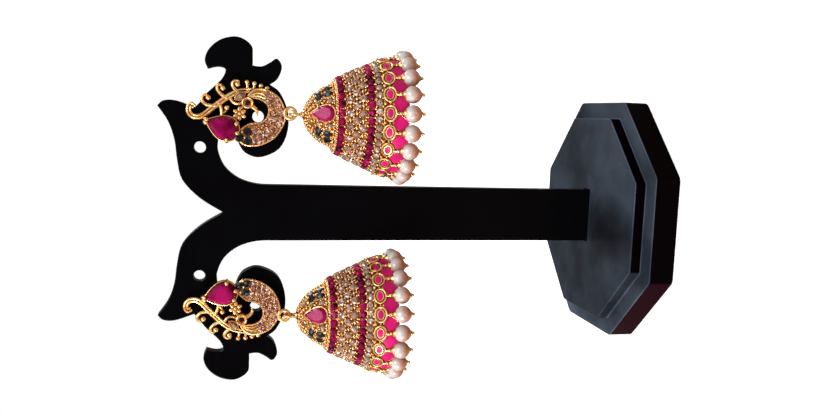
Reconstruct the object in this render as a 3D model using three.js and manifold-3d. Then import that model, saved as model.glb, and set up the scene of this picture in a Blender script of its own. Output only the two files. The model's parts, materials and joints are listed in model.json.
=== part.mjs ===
// A pair of jhumka earrings hung on a flat display stand.
// Millimetres, +Z up, front towards -Y. The origin is the centre of the stand's underside.
// Each earring is a bird-and-scroll stud with a bell that swings from a small ring.

import * as THREE from 'three';
import { mergeVertices } from 'three/addons/utils/BufferGeometryUtils.js';
import Module from 'manifold-3d';

const wasm = await Module();
wasm.setup();

// ---- Driving dimensions -------------------------------------------------------------------

const BASE = { lowerWidth: 50, lowerTop: 5.3, upperWidth: 42.9, upperTop: 7.7, edge: 0.5 };
const PLATE = { thickness: 3, postHalfWidth: 5.68, footHeight: 2.7, slotGap: 0.15 };
const SPARE_HOLES = [{ x: 12.9, z: 91.2, radius: 1.15 }, { x: 19.3, z: 80, radius: 1.15 }];

// Where each stud's ring and bell hang, how far the stud leans about its ring, and how far the
// bell's fringe is turned about the bell's axis.
const EARRINGS = [
  { name: 'right', side: 1, ringX: 20.15, bellX: 20, ringZ: 73.85, leanDegrees: 0, turnDegrees: 4.5 },
  { name: 'left', side: -1, ringX: 20.9, bellX: 20.9, ringZ: 74.4, leanDegrees: 7, turnDegrees: 13.5 },
];

// Depths are measured along Y; the plate's front face is at -1.5.
const STUD = { ringY: -3.1, back: -1.7, front: -2.9, wireY: -2.35 };
const RING = { radius: 1.05, wire: 0.4 };
const EYE = { radius: 1.05, wire: 0.3 };
const POST = { u: -2, v: 12.6, radius: 0.45, tip: 6, plateHole: 0.8 };
const NUT = { radius: 2.6, neckRadius: 1.2, hole: 0.6, front: 1.7, flange: 2.7, back: 4.9 };

const PEAR = { length: 6.2, width: 4.4, leanDegrees: 21, u: -3.4, v: 12.3 };
const CRYSTAL = { tableScale: 0.6, backScale: 0.55 };

// The bell hangs from its eye. Drops are measured down from the hinge axis.
const BELL = {
  segments: 40,
  capRadius: 6.2, capTop: 1.8, capFoot: 7.3,
  skirtRadius: 11.9, skirtFoot: 16.9,
  wallRadius: 11.2, mouth: 19.3, wall: 0.65,
};
const ENAMEL = { inner: 11.32, outer: 11.9, top: 17.05, bottom: 19.2, point: 1.1 };
const PEARLS = { count: 20, radius: 1.7, circle: 12, drop: 21.3 };

// ---- Materials ------------------------------------------------------------------------------

function finish(color, roughness, metalness) {
  return new THREE.MeshStandardMaterial({ color, roughness, metalness });
}

const BLACK_PLASTIC = finish(0x0d0c10, 0.18, 0);
const GOLD = finish(0xd8953f, 0.28, 1);
const RUBY = finish(0xb30b4a, 0.08, 0);
const GARNET = finish(0x7a1020, 0.1, 0);
const CLEAR_STONE = finish(0xe9e4e2, 0.05, 0);
const CHAMPAGNE_STONE = finish(0xc9a58d, 0.12, 0);
const ENAMEL_PINK = finish(0xe0207a, 0.2, 0);
const PEARL_WHITE = finish(0xe8e0d8, 0.25, 0);

// ---- Geometry helpers -----------------------------------------------------------------------

function signedVolume(geometry) {
  const place = geometry.attributes.position;
  const corner = geometry.index.array;
  const [a, b, c] = [new THREE.Vector3(), new THREE.Vector3(), new THREE.Vector3()];
  let sum = 0;
  for (let i = 0; i < corner.length; i += 3) {
    a.fromBufferAttribute(place, corner[i]);
    b.fromBufferAttribute(place, corner[i + 1]);
    c.fromBufferAttribute(place, corner[i + 2]);
    sum += a.dot(b.cross(c)) / 6;
  }
  return sum;
}

// One closed mesh: shared corners, no slivers where a lathe meets its axis, faces pointing out.
function closed(geometry) {
  const source = geometry.clone();
  source.deleteAttribute('normal');
  source.deleteAttribute('uv');
  const merged = mergeVertices(source, 1e-4);
  const corner = merged.index.array;
  const kept = [];
  for (let i = 0; i < corner.length; i += 3) {
    const [a, b, c] = [corner[i], corner[i + 1], corner[i + 2]];
    if (a !== b && b !== c && c !== a) kept.push(a, b, c);
  }
  merged.setIndex(kept);
  if (signedVolume(merged) < 0) merged.setIndex(kept.reverse());
  return merged;
}

function toSolid(geometry) {
  const mesh = closed(geometry);
  return new wasm.Manifold(new wasm.Mesh({
    numProp: 3,
    vertProperties: new Float32Array(mesh.attributes.position.array),
    triVerts: new Uint32Array(mesh.index.array),
  }));
}

function toGeometry(solid) {
  const mesh = solid.getMesh();
  const geometry = new THREE.BufferGeometry();
  geometry.setAttribute('position', new THREE.BufferAttribute(mesh.vertProperties, 3));
  geometry.setIndex(new THREE.BufferAttribute(mesh.triVerts, 1));
  return geometry;
}

function join(geometries) {
  return geometries.map(toSolid).reduce((whole, piece) => whole.add(piece));
}

// A closed outline drawn in X-Z and given a thickness along Y.
function slab(shape, yBack, yFront, curveSegments = 8) {
  const options = { depth: yBack - yFront, bevelEnabled: false, curveSegments };
  return new THREE.ExtrudeGeometry(shape, options).rotateX(Math.PI / 2).translate(0, yBack, 0);
}

function turned(profile, segments, start = 0) {
  const points = profile.map(([radius, height]) => new THREE.Vector2(radius, height));
  return new THREE.LatheGeometry(points, segments, start).rotateX(Math.PI / 2);
}

function torus(ringRadius, wireRadius, segments, sides) {
  const profile = [];
  for (let i = 0; i <= sides; i++) {
    const angle = (i % sides) / sides * 2 * Math.PI;
    profile.push([ringRadius + wireRadius * Math.cos(angle), wireRadius * Math.sin(angle)]);
  }
  return turned(profile, segments);
}

function roundWire(points, radius, steps, sides = 6) {
  const section = new THREE.Shape();
  section.absarc(0, 0, radius, 0, 2 * Math.PI);
  const path = new THREE.CatmullRomCurve3(points, false, 'centripetal');
  const options = { steps, extrudePath: path, curveSegments: sides / 2 };
  return new THREE.ExtrudeGeometry(section, options);
}

function ball(centre, radius, around = 6, down = 3) {
  return new THREE.SphereGeometry(radius, around, down).translate(centre.x, centre.y, centre.z);
}

// Points of a smooth line through the given places.
function smooth(places, steps) {
  const curve = new THREE.SplineCurve(places.map(([x, y]) => new THREE.Vector2(x, y)));
  return curve.getPoints(steps);
}

function outlineShape(spans) {
  const points = spans.flatMap(({ through, steps }) => smooth(through, steps).slice(0, -1));
  return new THREE.Shape(points);
}

// A cut stone: an outline in X-Z that narrows to a flat table in front and to a flat back.
function cutStone(outline, yBack, yGirdle, yTable) {
  const count = outline.length;
  const centre = outline.reduce((sum, p) => sum.add(p), new THREE.Vector2()).divideScalar(count);
  const layers = [
    { y: yBack, scale: CRYSTAL.backScale },
    { y: yGirdle, scale: 1 },
    { y: yTable, scale: CRYSTAL.tableScale },
  ];
  const places = [centre.x, yBack, centre.y];
  for (const { y, scale } of layers) {
    for (const p of outline) {
      places.push(centre.x + (p.x - centre.x) * scale, y, centre.y + (p.y - centre.y) * scale);
    }
  }
  places.push(centre.x, yTable, centre.y);
  const last = 1 + layers.length * count;
  const faces = [];
  for (let i = 0; i < count; i++) {
    const j = (i + 1) % count;
    faces.push(0, 1 + j, 1 + i);
    for (let layer = 0; layer < layers.length - 1; layer++) {
      const low = 1 + layer * count;
      const high = low + count;
      faces.push(low + i, low + j, high + j, low + i, high + j, high + i);
    }
    faces.push(last, last - count + i, last - count + j);
  }
  const geometry = new THREE.BufferGeometry();
  geometry.setAttribute('position', new THREE.Float32BufferAttribute(places, 3));
  geometry.setIndex(faces);
  return closed(geometry);
}

// ---- Stand ----------------------------------------------------------------------------------

// Half of the plate's outline, from the cleft in its crown round to the post, as (x, z).
const PLATE_HALF = [
  { part: 'crown wing', steps: 12,
    through: [[0, 86.6], [2.8, 91.1], [6.4, 94.5], [10.3, 95.5], [14.2, 96], [17.8, 97.2],
      [20.8, 99.2]] },
  { part: 'wing tip', steps: 6, through: [[20.8, 99.2], [21.8, 98.1], [21.9, 95.8], [20.7, 92.2]] },
  { part: 'lobe under the wing', steps: 9,
    through: [[20.7, 92.2], [22, 91], [23.5, 90], [26.3, 87.2], [28.3, 86.4], [28.8, 87.8],
      [28.3, 89.8]] },
  { part: 'hook', steps: 14,
    through: [[28.3, 89.8], [30, 90.35], [32.2, 89.5], [34.1, 87.2], [34.7, 84], [33.2, 81.5],
      [31, 81.2], [29.3, 81.2]] },
  { part: 'lower curl', steps: 12,
    through: [[29.3, 81.2], [29.2, 79.5], [30, 77.9], [30.85, 76.5], [29.3, 75.5], [26.9, 76.3],
      [25.7, 77.8]] },
  { part: 'disc', steps: 14,
    through: [[25.7, 77.8], [24.2, 75.8], [20.5, 74.2], [16.4, 74.2], [12.9, 75.9], [11.2, 79.6],
      [12, 82.4], [13.7, 83.7]] },
  { part: 'inner notch', steps: 5, through: [[13.7, 83.7], [15.6, 84.5], [15.9, 86.1], [14.5, 87.7]] },
  { part: 'shoulder', steps: 9,
    through: [[14.5, 87.7], [12.3, 87.75], [9.2, 86.4], [6.9, 83.6], [5.8, 80],
      [PLATE.postHalfWidth, 76]] },
];

function standBase() {
  const toCorner = 1 / Math.cos(Math.PI / 8);
  const lower = BASE.lowerWidth / 2 * toCorner;
  const upper = BASE.upperWidth / 2 * toCorner;
  const profile = [
    [0, 0], [lower, 0], [lower, BASE.lowerTop - BASE.edge], [lower - BASE.edge, BASE.lowerTop],
    [upper, BASE.lowerTop], [upper, BASE.upperTop - BASE.edge],
    [upper - BASE.edge, BASE.upperTop], [0, BASE.upperTop],
  ];
  const block = toSolid(turned(profile, 8, Math.PI / 8));
  const slotWidth = 2 * (PLATE.postHalfWidth + PLATE.slotGap);
  const slotDepth = BASE.upperTop - PLATE.footHeight + PLATE.slotGap;
  const cutterHeight = slotDepth + 1;
  const slot = new THREE.BoxGeometry(slotWidth, PLATE.thickness + 2 * PLATE.slotGap, cutterHeight)
    .translate(0, 0, BASE.upperTop - slotDepth + cutterHeight / 2);
  return toGeometry(block.subtract(toSolid(slot)));
}

function standPlate() {
  const half = PLATE_HALF.flatMap(({ through, steps }) => smooth(through, steps).slice(1));
  half.push(new THREE.Vector2(PLATE.postHalfWidth, PLATE.footHeight));
  const mirrored = half.map((p) => new THREE.Vector2(-p.x, p.y)).reverse();
  const cleft = new THREE.Vector2(...PLATE_HALF[0].through[0]);
  const shape = new THREE.Shape([cleft, ...half, ...mirrored]);
  for (const earring of EARRINGS) {
    const post = postPlace(earring);
    const holes = SPARE_HOLES.map(({ x, z, radius }) => ({ x: x * earring.side, z, radius }));
    for (const { x, z, radius } of [...holes, { ...post, radius: POST.plateHole }]) {
      shape.holes.push(new THREE.Path().absarc(x, z, radius, 0, 2 * Math.PI));
    }
  }
  return slab(shape, PLATE.thickness / 2, -PLATE.thickness / 2, 6);
}

// ---- Stud -----------------------------------------------------------------------------------

// Stud places are (u, v): u outwards from the ring's centre, v up. Depth is along Y.
function studPoint(side, [u, v], depth) {
  return new THREE.Vector3(side * u, depth, v);
}

function postPlace(earring) {
  const lean = THREE.MathUtils.degToRad(earring.leanDegrees);
  const u = POST.u * Math.cos(lean) - POST.v * Math.sin(lean);
  const v = POST.u * Math.sin(lean) + POST.v * Math.cos(lean);
  return { x: earring.side * (earring.ringX + u), z: earring.ringZ + v };
}

// The bird's body: a crescent, wide on the left, that narrows into the neck on the right.
const CRESCENT = [
  { part: 'belly', steps: 14,
    through: [[-5.4, 10.1], [-6.5, 8.4], [-6.2, 5.4], [-4.3, 2.6], [-0.8, 1.02], [2.6, 2.1],
      [4.2, 4.3], [4.5, 6.3]] },
  { part: 'throat', steps: 3, through: [[4.5, 6.3], [3.9, 7.5], [2.95, 8.3]] },
  { part: 'breast', steps: 12,
    through: [[2.95, 8.3], [2.6, 5.9], [1.6, 4.45], [0.2, 4.1], [-1.3, 4.65], [-2.15, 6],
      [-2.4, 7.9], [-3.6, 9.7]] },
  { part: 'tail root', steps: 1, through: [[-3.6, 9.7], [-5.4, 10.1]] },
];

// The bed of small stones set into the crescent.
const PAVE_BED = [
  { part: 'outer edge', steps: 12,
    through: [[-6.05, 7.1], [-5.75, 5.5], [-4, 3.05], [-0.8, 1.5], [2.35, 2.5], [3.8, 4.5],
      [4, 6]] },
  { part: 'neck end', steps: 1, through: [[4, 6], [3.1, 6.2]] },
  { part: 'inner edge', steps: 10,
    through: [[3.1, 6.2], [2, 4.2], [0.3, 3.7], [-1.55, 4.3], [-2.6, 5.9], [-2.85, 7.1]] },
  { part: 'tail end', steps: 1, through: [[-2.85, 7.1], [-6.05, 7.1]] },
];

const HEAD = { centre: [1.77, 8.31], radius: 1.24 };
const BEAK = [[1.2, 7.4], [0.78, 6.5], [0, 6.15], [-0.78, 6.55], [0, 7], [0.72, 7.9]];
const LEAF_STONE = { centre: [3.02, 9.7], length: 1.9, width: 0.85, turnDegrees: -56 };
const FLOWER = { centre: [-0.42, 9.81], petals: 6, petalCircle: 0.85, petalRadius: 0.55 };

// Wires soldered to the crescent: the long scrolled stem and its curls, thickest first.
const WIRES = [
  { part: 'stem', radius: 0.5, steps: 22,
    through: [[0.7, 18.4], [1.05, 18.95], [0.45, 19.4], [-0.5, 19.3], [-1.2, 18.5], [-1.15, 17.25],
      [-0.45, 16.1], [0.55, 15], [1.4, 13.9], [2.4, 12.6], [3.3, 11.3], [3.95, 9.75],
      [4.2, 7.9], [4.1, 6.3]] },
  { part: 'upper curl', radius: 0.32, steps: 7,
    through: [[1.1, 14.3], [1, 15.6], [1.35, 16.5], [2.1, 17], [2.8, 16.8], [3, 16.1],
      [2.5, 15.8]] },
  { part: 'middle curl', radius: 0.32, steps: 7,
    through: [[2.6, 12.3], [3, 13], [3.65, 13.75], [4.35, 14.1], [4.95, 13.9], [5, 13.3],
      [4.45, 13]] },
  { part: 'lower curl', radius: 0.32, steps: 7,
    through: [[3.8, 10.1], [4.4, 10.8], [5, 11.2], [5.7, 11.1], [6, 10.55], [5.8, 10],
      [5.35, 10.2]] },
  { part: 'inner curl', radius: 0.32, steps: 7,
    through: [[1.5, 13.8], [0.5, 13.3], [-0.45, 13.2], [-1.5, 13.2]] },
  { part: 'inner bud', radius: 0.3, steps: 4, through: [[-0.5, 13.2], [0, 12.5], [0.6, 12.25]] },
  { part: 'leaf curl', radius: 0.32, steps: 8,
    through: [[2.9, 11.7], [1.9, 11.2], [1.5, 10.5], [1.55, 9.7], [2, 9]] },
  { part: 'petal stalk', radius: 0.32, steps: 3, through: [[-0.42, 9.81], [0.8, 9.3], [1.4, 8.8]] },
  { part: 'petal link', radius: 0.4, steps: 2, through: [[-0.42, 9.81], [-1.9, 10.9]] },
];

const BALLS = [
  { at: [2.5, 15.75], radius: 0.5 }, { at: [4.4, 13.05], radius: 0.5 },
  { at: [5.35, 10.2], radius: 0.5 }, { at: [0.65, 12.25], radius: 0.45 },
];
const CREST = [
  { foot: [4.2, 8.24], tip: [5.8, 8.45] }, { foot: [4.2, 7.1], tip: [5.6, 7.02] },
  { foot: [4, 6.04], tip: [5.17, 5.76] }, { foot: [3.8, 4.98], tip: [4.74, 4.6] },
];
const CREST_BALL = 0.48;

// A pear outline: a round end, and two flanks that run together at the point.
function pearOutline(side, length, width, flankSteps = 5, roundSteps = 9) {
  const round = width / 2;
  const tip = length - round;
  const lean = THREE.MathUtils.degToRad(PEAR.leanDegrees);
  const shape = new THREE.Path();
  shape.moveTo(0, tip);
  shape.bezierCurveTo(-0.35 * round, 0.75 * tip, -round, 0.4 * tip, -round, 0);
  const leftFlank = shape.getPoints(flankSteps).slice(0, -1);
  const bottom = [];
  for (let i = 0; i <= roundSteps; i++) {
    const angle = Math.PI + i / roundSteps * Math.PI;
    bottom.push(new THREE.Vector2(round * Math.cos(angle), round * Math.sin(angle)));
  }
  const rightFlank = leftFlank.slice(1).map((p) => new THREE.Vector2(-p.x, p.y)).reverse();
  return [...leftFlank, ...bottom, ...rightFlank].map((p) => {
    const turned = p.clone().rotateAround(new THREE.Vector2(), -lean);
    return new THREE.Vector2(side * (turned.x + PEAR.u), turned.y + PEAR.v);
  });
}

function pearClaw(side, angleDegrees, reach) {
  const angle = THREE.MathUtils.degToRad(angleDegrees);
  const place = [PEAR.u + reach * Math.cos(angle), PEAR.v + reach * Math.sin(angle)];
  const claw = new THREE.CylinderGeometry(0.26, 0.34, 2.2, 6);
  const centre = studPoint(side, place, STUD.front - 0.5);
  return claw.translate(centre.x, centre.y, centre.z);
}

function mirroredShape(spans, side) {
  const across = spans.map(({ through, steps }) => (
    { through: through.map(([u, v]) => [side * u, v]), steps }
  ));
  return outlineShape(across);
}

function studFrame(side) {
  const body = slab(mirroredShape(CRESCENT, side), STUD.back, STUD.front);
  const setting = slab(
    new THREE.Shape(pearOutline(side, PEAR.length + 0.7, PEAR.width + 0.6)),
    STUD.back, STUD.front,
  );
  const beak = slab(
    new THREE.Shape(BEAK.map(([u, v]) => new THREE.Vector2(side * u, v))),
    STUD.back, STUD.front - 0.2,
  );
  const head = new THREE.CylinderGeometry(HEAD.radius, HEAD.radius, 1.5, 12);
  const headCentre = studPoint(side, HEAD.centre, STUD.back - 0.75);
  head.translate(headCentre.x, headCentre.y, headCentre.z);

  const wires = WIRES.map(({ through, radius, steps }) => {
    const points = through.map((place) => studPoint(side, place, STUD.wireY));
    return roundWire(points, radius, steps);
  });
  const crest = CREST.flatMap(({ foot, tip }) => {
    const ends = [foot, tip].map((place) => studPoint(side, place, STUD.wireY));
    return [roundWire(ends, 0.28, 1), ball(ends[1], CREST_BALL)];
  });
  const buds = BALLS.map(({ at, radius }) => ball(studPoint(side, at, STUD.wireY), radius));
  const petals = [];
  for (let i = 0; i < FLOWER.petals; i++) {
    const angle = i / FLOWER.petals * 2 * Math.PI;
    const u = FLOWER.centre[0] + FLOWER.petalCircle * Math.cos(angle);
    const v = FLOWER.centre[1] + FLOWER.petalCircle * Math.sin(angle);
    petals.push(ball(studPoint(side, [u, v], STUD.wireY - 0.3), FLOWER.petalRadius));
  }
  petals.push(ball(studPoint(side, FLOWER.centre, STUD.wireY - 0.4), 0.6));

  const claws = [
    { angle: 66, reach: 4.35 }, { angle: 74, reach: 4.3 }, { angle: -62, reach: 2.5 },
    { angle: 182, reach: 2.5 }, { angle: -112, reach: 2.5 },
  ].map(({ angle, reach }) => pearClaw(side, angle, reach));

  const ring = torus(RING.radius, RING.wire, 16, 6).rotateX(Math.PI / 2).translate(0, STUD.ringY, 0);
  const postLength = POST.tip - STUD.back + 0.4;
  const post = new THREE.CylinderGeometry(POST.radius, POST.radius, postLength, 8);
  post.translate(side * POST.u, POST.tip - postLength / 2, POST.v);
  const pieces = [body, setting, beak, head, ring, post];
  return toGeometry(join([...pieces, ...wires, ...crest, ...buds, ...petals, ...claws]));
}

function roundOutline(side, [u, v], radius, count) {
  const points = [];
  for (let i = 0; i < count; i++) {
    const angle = i / count * 2 * Math.PI;
    const x = side * (u + radius * Math.cos(angle));
    points.push(new THREE.Vector2(x, v + radius * Math.sin(angle)));
  }
  return points;
}

// A marquise: two arcs that meet in points at both ends.
function marquiseOutline(side, { centre, length, width, turnDegrees }, stepsPerArc = 5) {
  const turn = THREE.MathUtils.degToRad(turnDegrees);
  const points = [];
  for (const half of [1, -1]) {
    for (let i = 0; i < stepsPerArc; i++) {
      const along = half * length * (0.5 - i / stepsPerArc);
      const across = half * width / 2 * (1 - (2 * along / length) ** 2);
      const u = centre[0] + along * Math.cos(turn) - across * Math.sin(turn);
      const v = centre[1] + along * Math.sin(turn) + across * Math.cos(turn);
      points.push(new THREE.Vector2(side * u, v));
    }
  }
  return points;
}

// The bed of small stones that covers the crescent, inside its gold edge.
function crescentPave(side) {
  return slab(mirroredShape(PAVE_BED, side), STUD.front - 0.1, STUD.front - 0.7);
}

function earNut() {
  const profile = [
    [NUT.hole, NUT.front], [NUT.radius, NUT.front], [NUT.radius, NUT.flange],
    [NUT.neckRadius, NUT.flange], [NUT.neckRadius, NUT.back], [NUT.hole, NUT.back],
    [NUT.hole, NUT.front],
  ];
  // Turned about Z, then laid along Y: heights become distances behind the plate.
  return closed(turned(profile, 12).rotateX(-Math.PI / 2));
}

// ---- Bell -----------------------------------------------------------------------------------

function capLine(radius, top, foot, steps) {
  const line = [];
  for (let i = 0; i <= steps; i++) {
    const angle = i / steps * Math.PI / 2;
    line.push([radius * Math.sin(angle), top + (foot - top) * (1 - Math.cos(angle))]);
  }
  return line;
}

// Outside: neck, domed cap, a small step, flared skirt, then the wall that backs the enamel.
function bell() {
  const skirt = smooth(
    [[7, BELL.capFoot + 0.3], [8.35, 10.2], [9.75, 13.3], [10.9, 15.3],
      [BELL.skirtRadius, BELL.skirtFoot - 0.2]], 4,
  ).map((p) => [p.x, p.y]);
  const outside = [
    [0, EYE.radius], [0.42, EYE.radius], [0.55, 1.35], [1.15, 1.72],
    ...capLine(BELL.capRadius, BELL.capTop, BELL.capFoot, 5).slice(1),
    ...skirt,
    [BELL.skirtRadius, BELL.skirtFoot], [BELL.wallRadius, BELL.skirtFoot],
    [BELL.wallRadius, BELL.mouth],
  ];
  const wallInside = BELL.wallRadius - BELL.wall;
  const inside = [
    [wallInside, BELL.mouth], [wallInside, BELL.skirtFoot - 1], [8.7, 13.4], [6.2, 8.2],
    ...capLine(5.4, BELL.capTop + 0.9, BELL.capFoot - 0.2, 3).reverse(),
  ];
  const profile = [...outside, ...inside].map(([radius, drop]) => [radius, -drop]);
  const shell = turned(profile, BELL.segments);
  const eye = torus(EYE.radius, EYE.wire, 14, 6).rotateY(Math.PI / 2);
  return toGeometry(join([shell, eye]));
}

// A ring of enamel round the wall. Its lower edge comes down to a point between the pearls.
function enamelBand() {
  const { inner, outer, top, bottom, point } = ENAMEL;
  const steps = 2 * PEARLS.count;
  const places = [];
  const faces = [];
  for (let i = 0; i < steps; i++) {
    const angle = i / steps * 2 * Math.PI;
    const drop = bottom + (i % 2) * point;
    for (const [radius, height] of [[inner, -top], [outer, -top], [outer, -drop], [inner, -drop]]) {
      places.push(radius * Math.cos(angle), radius * Math.sin(angle), height);
    }
    for (let k = 0; k < 4; k++) {
      const [a, b] = [4 * i + k, 4 * i + (k + 1) % 4];
      const [c, d] = [(4 * i + 4) % (4 * steps) + (k + 1) % 4, (4 * i + 4) % (4 * steps) + k];
      faces.push(a, b, c, a, c, d);
    }
  }
  const geometry = new THREE.BufferGeometry();
  geometry.setAttribute('position', new THREE.Float32BufferAttribute(places, 3));
  geometry.setIndex(faces);
  return closed(geometry);
}

// ---- Assembly -------------------------------------------------------------------------------

function named(name, geometry, material) {
  const mesh = new THREE.Mesh(closed(geometry), material);
  mesh.name = name;
  return mesh;
}

function stud(earring) {
  const { name, side } = earring;
  const group = new THREE.Group();
  const girdle = STUD.front - 0.9;
  const pear = pearOutline(side, PEAR.length, PEAR.width);
  const eyeOutline = roundOutline(side, HEAD.centre, 0.72, 10);
  const leafOutline = marquiseOutline(side, LEAF_STONE);
  group.add(
    named(`stud_frame_${name}`, studFrame(side), GOLD),
    named(`stud_ruby_${name}`, cutStone(pear, STUD.front - 0.1, girdle, girdle - 1.1), RUBY),
    named(`eye_stone_${name}`, cutStone(eyeOutline, -3.3, -3.5, -3.9), GARNET),
    named(`leaf_stone_${name}`, cutStone(leafOutline, -3.05, -3.3, -3.7), CLEAR_STONE),
    named(`crescent_pave_${name}`, crescentPave(side), CHAMPAGNE_STONE),
  );
  group.position.set(side * earring.ringX, 0, earring.ringZ);
  group.rotation.y = THREE.MathUtils.degToRad(earring.leanDegrees);
  return group;
}

function hangingBell(earring) {
  const { name, side } = earring;
  const group = new THREE.Group();
  const fringe = new THREE.Group();
  fringe.add(named(`enamel_band_${name}`, enamelBand(), ENAMEL_PINK));
  for (let i = 0; i < PEARLS.count; i++) {
    const label = String(i + 1).padStart(2, '0');
    const pearl = named(
      `pearl_${name}_${label}`, new THREE.IcosahedronGeometry(PEARLS.radius, 1), PEARL_WHITE,
    );
    const angle = i / PEARLS.count * 2 * Math.PI;
    pearl.position.set(
      PEARLS.circle * Math.cos(angle), PEARLS.circle * Math.sin(angle), -PEARLS.drop,
    );
    fringe.add(pearl);
  }
  fringe.rotation.z = THREE.MathUtils.degToRad(earring.turnDegrees);
  group.add(named(`bell_${name}`, bell(), GOLD), fringe);
  group.position.set(side * earring.bellX, STUD.ringY, earring.ringZ - RING.radius);
  return group;
}

const assembly = new THREE.Group();
assembly.add(named('stand_base', standBase(), BLACK_PLASTIC));
assembly.add(named('stand_plate', standPlate(), BLACK_PLASTIC));
for (const earring of EARRINGS) {
  const post = postPlace(earring);
  const nut = named(`ear_nut_${earring.name}`, earNut(), GOLD);
  nut.position.set(post.x, 0, post.z);
  assembly.add(stud(earring), hangingBell(earring), nut);
}

export default assembly;
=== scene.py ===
"""Looks of a pair of jhumka earrings on a display stand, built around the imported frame."""

import json
import math

import bmesh
import bpy
import numpy as np
from bpy.props import FloatProperty, FloatVectorProperty, IntProperty, PointerProperty
from mathutils import Matrix, Vector


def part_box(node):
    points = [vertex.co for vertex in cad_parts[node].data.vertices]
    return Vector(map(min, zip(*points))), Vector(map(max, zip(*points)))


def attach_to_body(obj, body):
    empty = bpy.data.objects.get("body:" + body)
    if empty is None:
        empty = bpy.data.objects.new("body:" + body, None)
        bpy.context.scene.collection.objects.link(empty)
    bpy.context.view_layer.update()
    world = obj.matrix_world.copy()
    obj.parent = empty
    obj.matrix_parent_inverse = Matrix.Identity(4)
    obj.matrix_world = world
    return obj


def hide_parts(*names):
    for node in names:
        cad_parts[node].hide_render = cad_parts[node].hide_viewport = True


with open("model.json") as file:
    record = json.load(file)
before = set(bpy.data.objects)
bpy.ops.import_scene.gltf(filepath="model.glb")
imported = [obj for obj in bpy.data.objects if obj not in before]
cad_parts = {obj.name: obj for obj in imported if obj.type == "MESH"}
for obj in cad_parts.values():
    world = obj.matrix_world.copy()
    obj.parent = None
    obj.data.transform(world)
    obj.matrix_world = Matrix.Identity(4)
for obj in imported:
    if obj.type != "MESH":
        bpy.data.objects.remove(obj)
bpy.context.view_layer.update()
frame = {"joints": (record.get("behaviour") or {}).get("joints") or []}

bl_info = {
    "name": "Jhumka Earrings",
    "version": (1, 0, 0),
    "blender": (4, 5, 0),
    "location": "3D View > Sidebar > Jhumka",
    "description": "Builds a pair of jhumka earrings on their display stand",
    "category": "Add Mesh",
}

# ---- Sizes, in millimetres unless a name says otherwise --------------------

MM = 0.001
HINGES = {joint["child"]: Vector(joint["pos_m"]) for joint in frame["joints"]}
EARRINGS = {
    "right": {"sign": 1, "lean": 0.0, "ring_shift": 0.15, "turn": 4.5},
    "left": {"sign": -1, "lean": 7.0, "ring_shift": 0.0, "turn": 13.5},
}
RING = {"radius": 1.05, "wire": 0.4}
PLATE_BACK, PLATE_FRONT = 1.5, -1.5

# The bell, as distances below its hinge and out from its axis.
EYE = {"radius": 1.05, "wire": 0.3}
CAP = {"radius": 6.4, "top": 1.8, "foot": 7.3}
CAP_LINE = [(0.55, 1.15), (0.62, 1.4), (1.05, 1.75), (2.0, 2.17), (2.7, 2.57), (3.3, 2.96),
            (3.75, 3.36), (4.5, 4.16), (5.05, 4.96), (5.5, 5.75), (5.9, 6.56), (6.5, 7.3)]
SKIRT = [(6.95, 7.6), (8.25, 10.2), (9.65, 13.3), (10.65, 15.3), (10.95, 16.1)]
WALL = {"radius": 11.05, "top": 16.3, "mouth": 19.6, "thickness": 0.6}
SHELL_INSIDE = [(10.0, 15.0), (8.7, 13.4), (7.3, 10.6), (6.2, 8.2)]
PEARLS = {"count": 20, "circle": 12.0, "drop": 21.3}

# Rows of set stones round the skirt, from the cap down.
STONE_ROWS = [
    {"row": "ruby_upper", "drop": 8.35, "count": 28, "radius": 0.82, "turn": 0.05},
    {"row": "champagne_1", "drop": 9.95, "count": 20, "radius": 0.86, "turn": 0.0},
    {"row": "champagne_2", "drop": 11.1, "count": 20, "radius": 0.86, "turn": 0.5},
    {"row": "champagne_3", "drop": 12.25, "count": 20, "radius": 0.86, "turn": 0.0},
    {"row": "ruby_lower", "drop": 13.8, "count": 39, "radius": 0.8, "turn": 0.0},
    {"row": "white", "drop": 15.2, "count": 43, "radius": 0.68, "turn": 0.3},
]
GALLERY = {"drop": 16.95, "radius": 11.62, "slope": 0.3, "width": 3.3, "height": 2.7}
PENNANT = {"drop": 18.75, "radius": 11.75, "half_width": 1.58, "rise": 1.3, "fall": 1.95}
DARK_CLUSTERS = {"azimuth": 49.5, "rows": [{"polar": 58, "apart": 0.76, "radius": 0.78},
                                           {"polar": 76.5, "apart": 0.86, "radius": 0.86}]}


# ---- Mesh making --------------------

class Shape:
    """Gathers the corners and faces of one piece, in millimetres."""

    def __init__(self):
        self.corners = []
        self.faces = []
        self.count = 0

    def add(self, corners, faces):
        corners = np.asarray(corners, float).reshape(-1, 3)
        self.faces += [tuple(i + self.count for i in face) for face in faces]
        self.corners.append(corners)
        self.count += len(corners)

    def scatter(self, template, spots):
        """Copies of a small form, one at each spot."""
        corners, faces = template
        for origin, axes, scale in spots:
            self.add(origin + (corners * scale) @ axes, faces)


def scattered(template, spots):
    """A shape of copies of one small form."""
    shape = Shape()
    shape.scatter(template, spots)
    return shape


def make_piece(shape, name, material, smooth_angle=35.0, place=None):
    """A mesh object from a gathered shape. A smooth_angle of 0 leaves every face flat."""
    mesh = bpy.data.meshes.new(name)
    mesh.from_pydata(np.concatenate(shape.corners) * MM, [], shape.faces)
    form = bmesh.new()
    form.from_mesh(mesh)
    bmesh.ops.recalc_face_normals(form, faces=form.faces)
    form.to_mesh(mesh)
    form.free()
    return mesh_piece(mesh, name, material, smooth_angle, place)


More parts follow.
